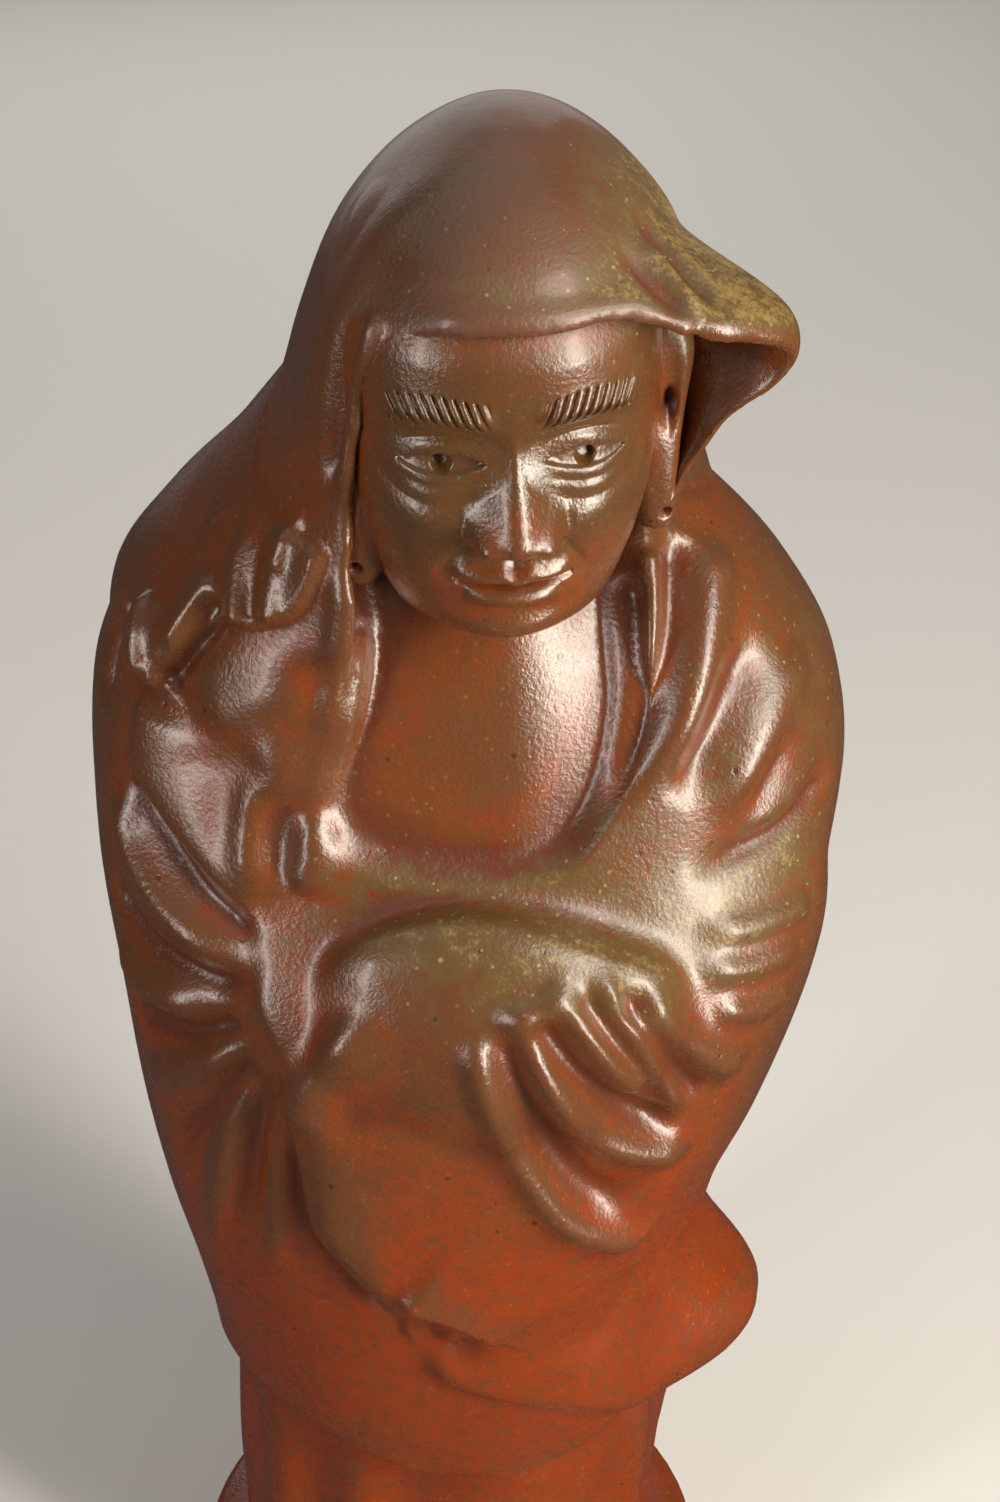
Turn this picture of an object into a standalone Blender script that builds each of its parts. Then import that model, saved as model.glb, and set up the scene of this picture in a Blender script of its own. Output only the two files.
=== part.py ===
"""A hooded standing sage in stoneware, about 32 cm tall, with its low base, as one fired piece.

The figure is modelled in units of 1/310 of its own height, with x to the viewer's right, y to the back
and z up from the top of the base, and is brought to real size at the end. Folds that show from the front
are drawn on a front view, 1000 wide and 1502 high, seen from a point in front of and above the figure.
"""

import math
from collections import namedtuple

import bmesh
import bpy
import numpy as np
from mathutils import Matrix, Vector
from mathutils.bvhtree import BVHTree

# Driving sizes, in metres
FIGURE_HEIGHT = 0.310
BASE_WIDTH = 0.098
BASE_DEPTH = 0.092
BASE_HEIGHT = 0.010

# The figure's own units, and where the middle of the base lies among them
UNITS_HIGH = 310.0
UNIT = FIGURE_HEIGHT / UNITS_HIGH
BASE_MIDDLE = Vector((-2.0, -2.0, 0.0))

# The front view: where it is seen from, how far it looks down, and its picture plane
EYE = Vector((8.0, -433.0, 494.0))
EYE_DOWN = math.radians(35.0)
VIEW_WIDE, VIEW_HIGH = 1000.0, 1502.0
HALF_FIELD = math.tan(math.radians(13.5))

# The head: its middle in the figure, its size against the head's own units, and its turn
HEAD_AT = Vector((7.0, -17.5, 272.5))
HEAD_SIZE = Vector((1.20, 1.16, 1.15))
HEAD_YAW = math.radians(7.0)
HEAD_NOD = math.radians(5.0)

# Finenesses, in figure units, and the triangles kept
CLOTH_VOXEL = 1.15
SMALL_VOXEL = 0.6
LOFT_STEP = 2.5
RING_POINTS = 96
CLOTH_THICK = 3.0
HEAD_ROWS, HEAD_COLUMNS = 72, 64
CLOTH_TRIANGLES = 5900
HEAD_TRIANGLES = 2500
EAR_TRIANGLES = 260
FOOT_TRIANGLES = 240

CLAY_COLOUR = (0.42, 0.115, 0.045, 1.0)
CLAY_ROUGHNESS = 0.32

Section = namedtuple("Section", "z left right front back square")
Fold = namedtuple("Fold", "profile height width far start end line")

# The cloth body: its reach to the left, right, front and back at each height
ROBE = (
    Section(40, -44, 40, -38, 42, 2.2),
    Section(58, -45, 43, -42, 43, 2.2),
    Section(75, -46, 42, -46, 44, 2.3),
    Section(95, -49, 39, -49, 45, 2.3),
    Section(115, -53, 44, -52, 46, 2.3),
    Section(137, -56, 53, -54, 47, 2.3),
    Section(160, -58, 60, -54, 48, 2.3),
    Section(180, -60, 64, -50, 48, 2.3),
    Section(195, -60.5, 66, -43, 48, 2.2),
    Section(208, -59.5, 64, -40, 47, 2.2),
    Section(222, -54, 57, -37, 44, 2.2),
    Section(236, -43, 46, -32, 38, 2.1),
    Section(248, -26, 33, -25, 28, 2.0),
    Section(255, -8, 24, -17, 16, 2.0),
)
SKIRT = (
    Section(-3, -42, 37, -37, 34, 2.4),
    Section(12, -42, 37, -37, 34, 2.4),
    Section(30, -42.5, 38, -36, 36, 2.3),
    Section(50, -42, 40, -36, 38, 2.3),
    Section(80, -38, 37, -34, 36, 2.2),
)
HOOD = (
    Section(186, -55, 58, -31, 51.5, 2.2),
    Section(205, -57, 58, -36, 51, 2.2),
    Section(222, -56, 53, -38, 48.5, 2.2),
    Section(240, -41, 43, -39, 43, 2.1),
    Section(258, -28, 39, -42, 38, 2.1),
    Section(275, -23, 38.5, -45, 34, 2.1),
    Section(289, -18, 35.5, -46, 28, 2.15),
    Section(298, -12, 29.5, -42, 21, 2.15),
    Section(304, -5.5, 23.5, -35, 13, 2.1),
    Section(308.5, 1, 17, -24, 2, 2.0),
    Section(310, 6, 12, -17, -6, 2.0),
)

# Where each layer of cloth ends: heights around the body, from the viewer's right towards the back
ROBE_HEM = (
    (0, 66), (60, 60), (120, 57), (165, 60), (195, 68), (208, 72), (225, 73), (236, 71),
    (251, 64), (266, 59), (282, 57.5), (295, 59), (320, 66),
)
DRAPE_HEM = (
    (0, 68), (30, 66), (60, 92), (240, 106), (264, 106), (269, 97), (275, 90), (286, 84),
    (300, 77), (316, 69), (330, 68),
)
HOOD_HEM = (
    (0, 244), (35, 214), (70, 196), (100, 190), (135, 196), (170, 206), (195, 206), (212, 197),
    (222, 212), (238, 212), (250, 230), (265, 246), (300, 252), (330, 252),
)

# The drape's edge at the viewer's left: its angle at each height
DRAPE_LEFT_EDGE = (
    (100, 266), (111, 263), (117, 259), (125, 253), (132, 248), (152, 245), (160, 242), (175, 236),
)


def clear_scene():
    for old in list(bpy.data.objects):
        bpy.data.objects.remove(old, do_unlink=True)


def ease(t):
    """0 to 1 with level ends."""
    t = np.clip(t, 0.0, 1.0)
    return t * t * (3 - 2 * t)


def dome(x, y, rx, ry):
    """A soft round rise, 1 in the middle."""
    return np.exp(-((x / rx) ** 2) - (y / ry) ** 2)


def curve_through(places, values, at, closed=0.0):
    """Values on a smooth curve through the given ones. A closed curve repeats after the length given."""
    x = np.asarray(places, float)
    y = np.asarray(values, float)
    at = np.asarray(at, float)
    if closed:
        at = (at - x[0]) % closed + x[0]
        x = np.concatenate([[x[-1] - closed], x, [x[0] + closed, x[1] + closed]])
        y = np.concatenate([[y[-1]], y, [y[0], y[1]]])
    gap = np.diff(x)
    rise = np.diff(y) / gap
    slope = np.zeros_like(y)
    both = rise[:-1] + rise[1:]
    same_way = rise[:-1] * rise[1:] > 0
    slope[1:-1] = np.where(same_way, 2 * rise[:-1] * rise[1:] / np.where(same_way, both, 1.0), 0.0)
    slope[0], slope[-1] = rise[0], rise[-1]
    at = np.clip(at, x[0], x[-1])
    i = np.clip(np.searchsorted(x, at, side="right") - 1, 0, len(x) - 2)
    t = (at - x[i]) / gap[i]
    return (
        y[i] * (1 + 2 * t) * (1 - t) ** 2
        + y[i + 1] * t * t * (3 - 2 * t)
        + gap[i] * (slope[i] * t * (1 - t) ** 2 - slope[i + 1] * t * t * (1 - t))
    )


def around(table):
    """Heights around the body as a function of the angle."""
    return lambda degrees: curve_through(
        [a for a, _ in table], [z for _, z in table], degrees, closed=360.0
    )


def skin(sections, turn, z, grow=0.0):
    """Points of a body at the angles and heights given, its reaches grown outward by grow."""
    places = [s.z for s in sections]
    left, right, front, back, square = (
        curve_through(places, [s[k] for s in sections], z) for k in range(1, 6)
    )
    c, s = np.cos(turn), np.sin(turn)
    u = np.sign(c) * np.abs(c) ** (2 / square)
    v = np.sign(s) * np.abs(s) ** (2 / square)
    x = (left + right) / 2 + u * ((right - left) / 2 + grow)
    y = (front + back) / 2 + v * ((back - front) / 2 + grow)
    return np.stack([x, y, z], axis=-1)


def mesh_object(name, points, faces):
    mesh = bpy.data.meshes.new(name)
    mesh.from_pydata(np.asarray(points).tolist(), [], faces)
    bm = bmesh.new()
    bm.from_mesh(mesh)
    bmesh.ops.recalc_face_normals(bm, faces=bm.faces)
    bm.to_mesh(mesh)
    bm.free()
    obj = bpy.data.objects.new(name, mesh)
    bpy.context.scene.collection.objects.link(obj)
    return obj


def closed_rows(name, rows):
    """A closed body from stacked rings of equal length, capped at both ends."""
    n = len(rows[0])
    faces = [
        (r * n + k, r * n + (k + 1) % n, (r + 1) * n + (k + 1) % n, (r + 1) * n + k)
        for r in range(len(rows) - 1)
        for k in range(n)
    ]
    faces.append(tuple(range(n - 1, -1, -1)))
    faces.append(tuple(range((len(rows) - 1) * n, len(rows) * n)))
    return mesh_object(name, np.concatenate(rows), faces)


def layer(name, sections, hem=None, grow=None, top=None):
    """A layer of cloth: sections stacked from its hem, whose height may differ around the body, to its top.

    Angles run from the viewer's right towards the back. Under the hem the cloth turns in to its thickness.
    """
    turn = np.linspace(0, 2 * math.pi, RING_POINTS, endpoint=False)
    degrees = np.degrees(turn)
    low = hem(degrees) if hem else np.full(RING_POINTS, float(sections[0].z))
    high = sections[-1].z if top is None else top
    share = np.linspace(0, 1, int((high - low.min()) / LOFT_STEP))
    rows = []

    def row(z, more):
        swell = grow(degrees, z) if grow else 0.0
        return skin(sections, turn, z, swell + more)

    if hem:
        rows.append(row(low + 2 * CLOTH_THICK, -3.0 * CLOTH_THICK))
        rows.append(row(low + 1.0, -1.6 * CLOTH_THICK))
        rows.append(row(low - 0.8, -0.8 * CLOTH_THICK))
    for t in share:
        rows.append(row(low + (high - low) * t, 0.0))
    return closed_rows(name, rows)


def ellipsoid(name, centre, radii):
    bpy.ops.mesh.primitive_uv_sphere_add(segments=40, ring_count=20, radius=1, location=centre)
    obj = bpy.context.active_object
    obj.name = name
    obj.scale = radii
    return obj


def bake_transform(obj, matrix=None):
    bpy.context.view_layer.update()
    obj.data.transform(obj.matrix_world if matrix is None else matrix)
    obj.matrix_world = Matrix.Identity(4)


def apply_modifiers(obj):
    graph = bpy.context.evaluated_depsgraph_get()
    made = bpy.data.meshes.new_from_object(obj.evaluated_get(graph))
    obj.modifiers.clear()
    obj.data = made


def fuse(name, pieces, voxel):
    """Several overlapping solids made one by a voxel remesh."""
    bm = bmesh.new()
    for piece in pieces:
        bake_transform(piece)
        bm.from_mesh(piece.data)
    mesh = bpy.data.meshes.new(name)
    bm.to_mesh(mesh)
    bm.free()
    for piece in pieces:
        bpy.data.objects.remove(piece, do_unlink=True)
    obj = bpy.data.objects.new(name, mesh)
    bpy.context.scene.collection.objects.link(obj)
    remesh = obj.modifiers.new("one skin", "REMESH")
    remesh.mode = "VOXEL"
    remesh.voxel_size = voxel
    apply_modifiers(obj)
    return obj


def relax(obj, rounds):
    smooth = obj.modifiers.new("soften", "SMOOTH")
    smooth.factor = 0.5
    smooth.iterations = rounds
    apply_modifiers(obj)
    return obj


def thin_out(obj, triangles):
    """Fewer triangles, kept where the surface bends most."""
    obj.data.calc_loop_triangles()
    have = len(obj.data.loop_triangles)
    if have > triangles:
        decimate = obj.modifiers.new("fewer", "DECIMATE")
        decimate.ratio = triangles / have
        decimate.use_collapse_triangulate = True
        apply_modifiers(obj)
    return obj


def combine(obj, other, operation):
    bake_transform(other)
    boolean = obj.modifiers.new(operation, "BOOLEAN")
    boolean.operation = operation
    boolean.object = other
    boolean.solver = "EXACT"
    apply_modifiers(obj)
    bpy.data.objects.remove(other, do_unlink=True)
    return obj


def get_points(obj):
    points = np.empty(len(obj.data.vertices) * 3, np.float32)
    obj.data.vertices.foreach_get("co", points)
    return points.reshape(-1, 3).astype(float)


def edge_ends(obj):
    ends = np.empty(len(obj.data.edges) * 2, np.int32)
    obj.data.edges.foreach_get("vertices", ends)
    return ends.reshape(-1, 2).T


def evened(values, ends):
    """Rows of values at the points, each made the mean of its own and its neighbours'."""
    a, b = ends
    count = len(values)
    joined = 1 + np.bincount(a, minlength=count) + np.bincount(b, minlength=count)
    columns = [v + np.bincount(a, v[b], count) + np.bincount(b, v[a], count) for v in values.T]
    return np.stack(columns, axis=1) / joined[:, None]


def get_normals(obj, rounds=8):
    """The outward directions at the points, evened out between neighbours."""
    normals = np.empty(len(obj.data.vertices) * 3, np.float32)
    obj.data.vertices.foreach_get("normal", normals)
    normals = normals.reshape(-1, 3).astype(float)
    ends = edge_ends(obj)
    for _ in range(rounds):
        normals = evened(normals, ends)
        normals /= np.linalg.norm(normals, axis=1)[:, None]
    return normals


def set_points(obj, points):
    obj.data.vertices.foreach_set("co", points.astype(np.float32).ravel())
    obj.data.update()


def grab(obj, centre, reach, pull):
    """Pulls the cloth near a point, fading out to nothing at its reach."""
    points = get_points(obj)
    away = np.linalg.norm((points - centre) / np.asarray(reach), axis=1)
    set_points(obj, points + np.outer(ease(1 - away), pull))


def soften_near(obj, centre, reach, rounds):
    """Evens out the cloth near a point, fading out to nothing at its reach."""
    points = get_points(obj)
    ends = edge_ends(obj)
    share = ease(2 - 2 * np.linalg.norm((points - centre) / np.asarray(reach), axis=1))[:, None]
    for _ in range(rounds):
        points += share * (evened(points, ends) - points)
    set_points(obj, points)


def sight(px, py):
    """The direction from the eye through a point of the front view."""
    across = (px - VIEW_WIDE / 2) / (VIEW_HIGH / 2) * HALF_FIELD
    above = (VIEW_HIGH / 2 - py) / (VIEW_HIGH / 2) * HALF_FIELD
    ahead = Vector((0, math.cos(EYE_DOWN), -math.sin(EYE_DOWN)))
    up = Vector((0, math.sin(EYE_DOWN), math.cos(EYE_DOWN)))
    return (ahead + Vector((1, 0, 0)) * across + up * above).normalized()


def smooth_line(points, samples=24):
    """Points close together on a smooth line through a few given ones."""
    points = np.asarray(points, float)
    if len(points) == 2:
        return points[0] + np.linspace(0, 1, samples)[:, None] * (points[1] - points[0])
    ends = np.vstack([2 * points[0] - points[1], points, 2 * points[-1] - points[-2]])
    line = []
    per = max(2, samples // (len(points) - 1))
    for k in range(1, len(ends) - 2):
        a, b, c, d = ends[k - 1 : k + 3]
        for t in np.linspace(0, 1, per, endpoint=False):
            square = (2 * a - 5 * b + 4 * c - d) * t * t
            cube = (3 * b - a - 3 * c + d) * t**3
            line.append(0.5 * (2 * b + (c - a) * t + square + cube))
    line.append(points[-1])
    return np.asarray(line)


def on_surface(tree, line):
    """Where a line drawn on the front view falls on the figure, with the normals there."""
    places, normals = [], []
    for px, py in line:
        place, normal, _, _ = tree.ray_cast(EYE, sight(px, py))
        if place is not None:
            places.append(place)
            normals.append(normal)
    return np.asarray(places), np.asarray(normals)


def ridge(s, width, far):
    """Rounded across, with a flank of its own breadth on each side of the line."""
    return np.where(s < 0, np.exp(-((s / width) ** 2)), np.exp(-((s / far) ** 2)))


def crease(s, width, far):
    """Sharp at the line, with a flank of its own breadth on each side."""
    return 1.0 / np.cosh(np.where(s < 0, s / width, s / far) * 1.6)


def step(s, width, far):
    """Raised on the positive side, sharply at the line, and fading out far from it."""
    return ease(s / width + 0.5) * np.exp(-np.clip(s, 0, None) / far)


def fold_rise(points, places, normals, fold):
    """How far one fold lifts each point."""
    far = fold.far or fold.width
    reach = 3.2 * max(fold.width, far)
    near = ((points > places.min(0) - reach) & (points < places.max(0) + reach)).all(axis=1)
    near = np.flatnonzero(near)
    some = points[near]
    best = np.full(len(near), 1e9)
    side = np.zeros(len(near))
    along = np.zeros(len(near))
    legs = np.diff(places, axis=0)
    lengths = np.linalg.norm(legs, axis=1)
    walked = 0.0
    for k, (leg, length) in enumerate(zip(legs, lengths)):
        if length < 1e-6:
            continue
        to = some - places[k]
        t = np.clip(to @ leg / length**2, 0, 1)
        off = to - t[:, None] * leg
        away = np.linalg.norm(off, axis=1)
        closer = away < best
        best[closer] = away[closer]
        side[closer] = (off @ np.cross(leg, normals[k]))[closer]
        along[closer] = (walked + t * length)[closer]
        walked += length
    along /= walked
    signed = np.where(side < 0, -best, best)
    fade = ease(along / fold.start) if fold.start else 1.0
    fade = fade * ease((1 - along) / fold.end) if fold.end else fade
    rise = np.zeros(len(points))
    rise[near] = fold.height * fold.profile(signed, fold.width, far) * fade
    return rise


def carve(obj, folds):
    """Works a set of folds drawn on the front view into the cloth."""
    tree = BVHTree.FromPolygons(
        [v.co for v in obj.data.vertices], [p.vertices for p in obj.data.polygons]
    )
    points, normals = get_points(obj), get_normals(obj)
    rise = np.zeros(len(points))
    for fold in folds:
        places, outward = on_surface(tree, smooth_line(fold.line))
        if len(places) > 1:
            rise += fold_rise(points, places, outward, fold)
    set_points(obj, points + normals * rise[:, None])


# Folds of the cloth on the front view: profile, height, flank breadths, fades at both ends, and the line.
# For a line drawn downwards the first flank is the viewer's right one.
HOOD_FOLDS = (
    Fold(ridge, 1.6, 1.6, 0, 0.1, 0.2, (
        (382, 308), (369, 347), (356, 380), (351, 428), (343, 470), (338, 510))),
    Fold(ridge, -1.8, 2.2, 0, 0.2, 0.2, ((366, 306), (350, 350), (338, 428), (328, 500))),
    Fold(ridge, 1.0, 2.2, 0, 0.1, 0.1, (
        (402, 312), (440, 320), (490, 324), (540, 323), (582, 317), (608, 309), (632, 304), (657, 312),
        (682, 328), (700, 334), (722, 329), (748, 324), (782, 318))),
    Fold(ridge, 1.4, 5.0, 7.0, 0.4, 0.4, ((520, 150), (410, 205), (350, 300), (300, 430), (252, 520))),
    Fold(ridge, -1.5, 2.0, 2.6, 0.4, 0.25, ((623, 193), (652, 232), (683, 267), (706, 292), (728, 310))),
    Fold(ridge, 1.0, 1.8, 0, 0.3, 0.25, ((640, 232), (668, 268), (694, 300), (708, 318))),
    Fold(ridge, -1.5, 2.0, 2.4, 0.4, 0.25, ((612, 234), (640, 266), (668, 296), (690, 322))),
)
MANTLE_FOLDS = (
    Fold(step, 2.3, 1.8, 16.0, 0.05, 0.15, (
        (328, 545), (320, 575), (304, 608), (279, 621), (251, 625), (223, 621), (193, 637), (162, 680),
        (150, 682), (140, 660), (143, 618), (136, 585))),
    Fold(ridge, 0.9, 1.8, 0, 0.5, 0.02, ((256, 500), (243, 560), (242, 622))),
    Fold(ridge, 0.9, 2.0, 0, 0.5, 0.02, ((298, 500), (282, 560), (274, 619))),
    Fold(ridge, -0.7, 1.8, 0, 0.4, 0.02, ((276, 500), (262, 560), (258, 622))),
    Fold(ridge, 0.8, 1.4, 0, 0.3, 0.2, ((302, 505), (291, 545), (284, 575))),
    Fold(crease, -3.0, 3.0, 1.8, 0.2, 0.05, ((228, 590), (206, 622), (186, 650), (163, 679))),
    Fold(ridge, 1.4, 2.2, 0, 0.2, 0.2, ((222, 574), (196, 614), (172, 652))),
    Fold(ridge, 1.2, 1.8, 0, 0.2, 0.1, ((150, 590), (145, 630), (146, 672))),
    Fold(crease, -2.6, 1.6, 2.6, 0.1, 0.3, ((128, 588), (117, 622), (108, 665), (102, 715))),
)
COLLAR_FOLDS = (
    Fold(ridge, 1.5, 1.6, 2.4, 0.15, 0.3, ((345, 570), (344, 620), (337, 666), (330, 703), (316, 742))),
    Fold(ridge, 1.3, 1.8, 0, 0.15, 0.2, ((359, 590), (361, 650), (352, 715), (336, 777), (323, 830))),
    Fold(ridge, 2.4, 3.4, 2.6, 0.3, 0.3, ((314, 810), (308, 850), (304, 900))),
    Fold(ridge, -1.6, 3.0, 3.0, 0.3, 0.3, ((296, 770), (285, 830), (280, 890))),
    Fold(ridge, -2.4, 2.6, 0, 0.1, 0.4, ((628, 570), (634, 640), (636, 710), (622, 780), (598, 850))),
    Fold(ridge, 1.3, 2.0, 0, 0.1, 0.3, ((652, 545), (655, 620), (649, 700))),
    Fold(ridge, -2.6, 2.8, 0, 0.1, 0.4, ((678, 530), (675, 620), (660, 690), (644, 740), (620, 810))),
)
LEFT_SLEEVE_FOLDS = (
    Fold(ridge, 1.8, 3.2, 0, 0.4, 0.4, ((266, 712), (279, 775), (270, 826))),
    Fold(ridge, 1.4, 2.8, 0, 0.4, 0.3, ((255, 760), (251, 815), (252, 860), (264, 905))),
    Fold(ridge, 2.4, 3.6, 2.8, 0.1, 0.3, (
        (152, 690), (145, 734), (149, 774), (172, 817), (199, 860), (229, 900), (268, 940))),
    Fold(crease, -2.6, 2.4, 0, 0.2, 0.2, ((130, 765), (142, 800), (181, 855), (220, 903), (262, 948))),
    Fold(ridge, 2.2, 3.0, 0, 0.2, 0.3, (
        (124, 776), (126, 823), (138, 863), (162, 903), (205, 945), (248, 965))),
    Fold(crease, -2.6, 2.8, 0, 0.2, 0.2, ((102, 860), (140, 935), (200, 978), (255, 985))),
    Fold(ridge, 2.0, 3.4, 0, 0.3, 0.3, ((112, 930), (150, 985), (215, 1012))),
    Fold(crease, -2.4, 2.8, 0, 0.2, 0.2, ((130, 1010), (190, 1035), (252, 1020))),
    Fold(ridge, 2.0, 3.0, 0, 0.3, 0.3, ((150, 1075), (200, 1065), (255, 1040))),
    Fold(crease, -2.2, 2.6, 0, 0.2, 0.2, ((175, 1145), (215, 1105), (262, 1050))),
    Fold(ridge, 1.8, 3.2, 0, 0.3, 0.4, ((248, 1070), (226, 1150), (212, 1260))),
    Fold(crease, -2.4, 2.8, 0, 0.3, 0.4, ((268, 1060), (256, 1130), (240, 1250))),
    Fold(ridge, 1.2, 3.2, 0, 0.4, 0.4, ((285, 1120), (278, 1200), (270, 1290))),
)
RIGHT_SLEEVE_FOLDS = (
    Fold(ridge, 2.4, 4.4, 0, 0.2, 0.3, ((716, 530), (708, 620), (690, 710), (654, 800))),
    Fold(ridge, -2.6, 4.0, 0, 0.3, 0.3, ((760, 625), (738, 680), (706, 748), (672, 810))),
    Fold(ridge, 2.0, 4.4, 0, 0.3, 0.3, ((804, 640), (778, 705), (740, 778), (704, 824))),
    Fold(ridge, -1.2, 2.8, 0, 0.4, 0.4, ((790, 725), (766, 782), (738, 822))),
    Fold(ridge, 1.2, 3.0, 0, 0.4, 0.4, ((816, 745), (798, 796), (764, 826), (728, 852))),
    Fold(crease, -2.6, 2.0, 4.0, 0.3, 0.4, ((838, 768), (786, 826), (732, 858), (680, 886))),
    Fold(ridge, 1.6, 2.6, 0, 0.3, 0.2, ((690, 932), (750, 926), (812, 900))),
    Fold(ridge, 1.4, 2.4, 0, 0.3, 0.2, ((690, 968), (745, 968), (800, 945))),
    Fold(ridge, 1.4, 2.4, 0, 0.3, 0.2, ((705, 1008), (750, 1010), (790, 990))),
)
HAND_FOLDS = (
    Fold(ridge, 2.2, 3.0, 9.0, 0.2, 0.2, (
        (318, 1008), (345, 966), (400, 938), (480, 929), (560, 947), (640, 975), (705, 998))),
    Fold(ridge, -1.2, 5.0, 5.0, 0.2, 0.2, ((330, 938), (410, 903), (500, 898), (590, 923), (660, 948))),
    Fold(ridge, 3.0, 6.0, 3.4, 0.3, 0.3, ((384, 1008), (350, 1040), (318, 1078), (300, 1112), (298, 1140))),
)
HANGING_FOLDS = (
    Fold(ridge, 2.8, 3.2, 0, 0.1, 0.15, (
        (478, 1020), (488, 1085), (520, 1155), (566, 1218), (622, 1236), (668, 1208))),
    Fold(ridge, -3.0, 4.2, 0, 0.1, 0.2, ((500, 1020), (520, 1095), (556, 1160), (604, 1196), (655, 1188))),
    Fold(ridge, 2.8, 3.4, 0, 0.1, 0.15, (
        (514, 988), (527, 1040), (554, 1096), (598, 1136), (650, 1150), (696, 1144))),
    Fold(ridge, -2.8, 3.0, 0, 0.1, 0.2, ((537, 1008), (562, 1055), (600, 1095), (645, 1118), (684, 1124))),
    Fold(ridge, 2.4, 3.4, 0, 0.15, 0.2, ((532, 988), (575, 1024), (612, 1064), (648, 1092))),
    Fold(ridge, -1.8, 2.2, 0, 0.15, 0.2, ((574, 985), (606, 1030), (640, 1072), (666, 1102))),
    Fold(ridge, 1.8, 2.0, 0, 0.15, 0.2, ((588, 968), (612, 1010), (642, 1052), (670, 1094), (684, 1118))),
    Fold(ridge, -1.6, 2.4, 0, 0.15, 0.2, ((612, 982), (642, 1028), (676, 1068), (704, 1098))),
    Fold(ridge, 2.4, 3.6, 0, 0.15, 0.2, ((628, 1000), (662, 1026), (698, 1050), (742, 1068))),
    Fold(ridge, 1.8, 6.0, 0, 0.4, 0.3, ((702, 1170), (680, 1260), (640, 1335))),
    Fold(ridge, -1.8, 6.0, 0, 0.4, 0.3, ((650, 1240), (610, 1320), (560, 1370))),
)
DRAPE_EDGE = (
    Fold(step, 2.6, 2.4, 16.0, 0.1, 0.25, (
        (414, 1350), (396, 1312), (368, 1284), (338, 1250), (311, 1216), (302, 1170), (294, 1122),
        (288, 1090))),
    Fold(crease, -2.0, 1.6, 2.4, 0.2, 0.2, (
        (398, 1328), (362, 1290), (331, 1255), (305, 1220), (297, 1174), (290, 1124))),
    Fold(ridge, -4.4, 4.4, 4.0, 0.15, 0.5, ((398, 1304), (422, 1331), (452, 1353), (498, 1372))),
    Fold(ridge, 2.2, 2.2, 0, 0.5, 0.5, ((436, 1334), (448, 1346), (460, 1360))),
    Fold(step, 2.8, 2.0, 10.0, 0.6, 0.1, ((540, 1356), (493, 1337), (458, 1318), (420, 1302), (392, 1290))),
)
FRONT_FOLDS = (
    HOOD_FOLDS + MANTLE_FOLDS + COLLAR_FOLDS + LEFT_SLEEVE_FOLDS + RIGHT_SLEEVE_FOLDS
    + HAND_FOLDS + HANGING_FOLDS + DRAPE_EDGE
)


def drape_grow(degrees, z):
    """How far the outer drape stands over the robe: only in front and at the viewer's right."""
    edge = curve_through([z for z, _ in DRAPE_LEFT_EDGE], [turn for _, turn in DRAPE_LEFT_EDGE], z)
    share = ease((degrees - edge) / 7.0) * ease((375 - degrees) / 40.0)
    return 6.5 * share * ease((200 - z) / 30.0) - 3.5


def head_hollow():
    """The cutter for the hood's face opening: a squarish arch, deeper at the viewer's right."""
    left, right, spring, top, foot, square = -14.5, 34.8, 262.0, 291.8, 236.0, 3.6
    middle, half_wide, rise = (left + right) / 2, (right - left) / 2, top - spring
    turn = np.linspace(0, math.pi, 41)
    c, s = np.cos(turn), np.sin(turn)
    arch_x = middle + half_wide * np.sign(c) * np.abs(c) ** (2 / square)
    arch_z = spring + rise * np.abs(s) ** (2 / square)
    height = np.clip((arch_z - spring) / rise, 0, 1)
    arch_z -= (5.6 * dome(arch_x - 30, 0, 5.0, 1) - 1.4 * dome(arch_x - 21.5, 0, 4.0, 1)) * height
    arch_x += 3.0 * height * np.where(c < 0, 1, 0)
    arch_x = np.concatenate([arch_x, [left, right]])
    arch_z = np.concatenate([arch_z, [foot, foot]])
    share = (arch_x - left) / (right - left)
    rows = [np.column_stack([arch_x, np.full(len(arch_x), y), arch_z]) for y in (-80.0, -40.0)]
    rows.append(np.column_stack([middle + (arch_x - middle) * 0.92, -22 + 15 * share, arch_z - 1]))
    return closed_rows("hollow", rows)


def recess_chest(obj):
    """Sinks the bare chest between the two sides of the collar."""
    points, normals = get_points(obj), get_normals(obj)
    x, y, z = points.T
    left = curve_through((195, 204, 213, 222, 236, 245), (-15, -19.5, -18, -15, -13, -12.5), z)
    right = curve_through((195, 203, 213, 224, 236, 245), (18, 23, 27, 29, 29, 28), z)
    edges = np.stack([x - left, right - x, z - 197.0])
    inside = -3.0 * np.log(np.exp(-np.clip(edges, -60, 60) / 3.0).sum(axis=0))
    round_off = 4.0 + 2.6 * ease((x - 9) / 18) + 2.2 * ease((z - 206) / 30)
    sink = round_off * ease(inside / 5.0 + 0.5) * ease((-y - 5) / 8) * ease((252 - z) / 4)
    set_points(obj, points - normals * sink[:, None])


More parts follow.
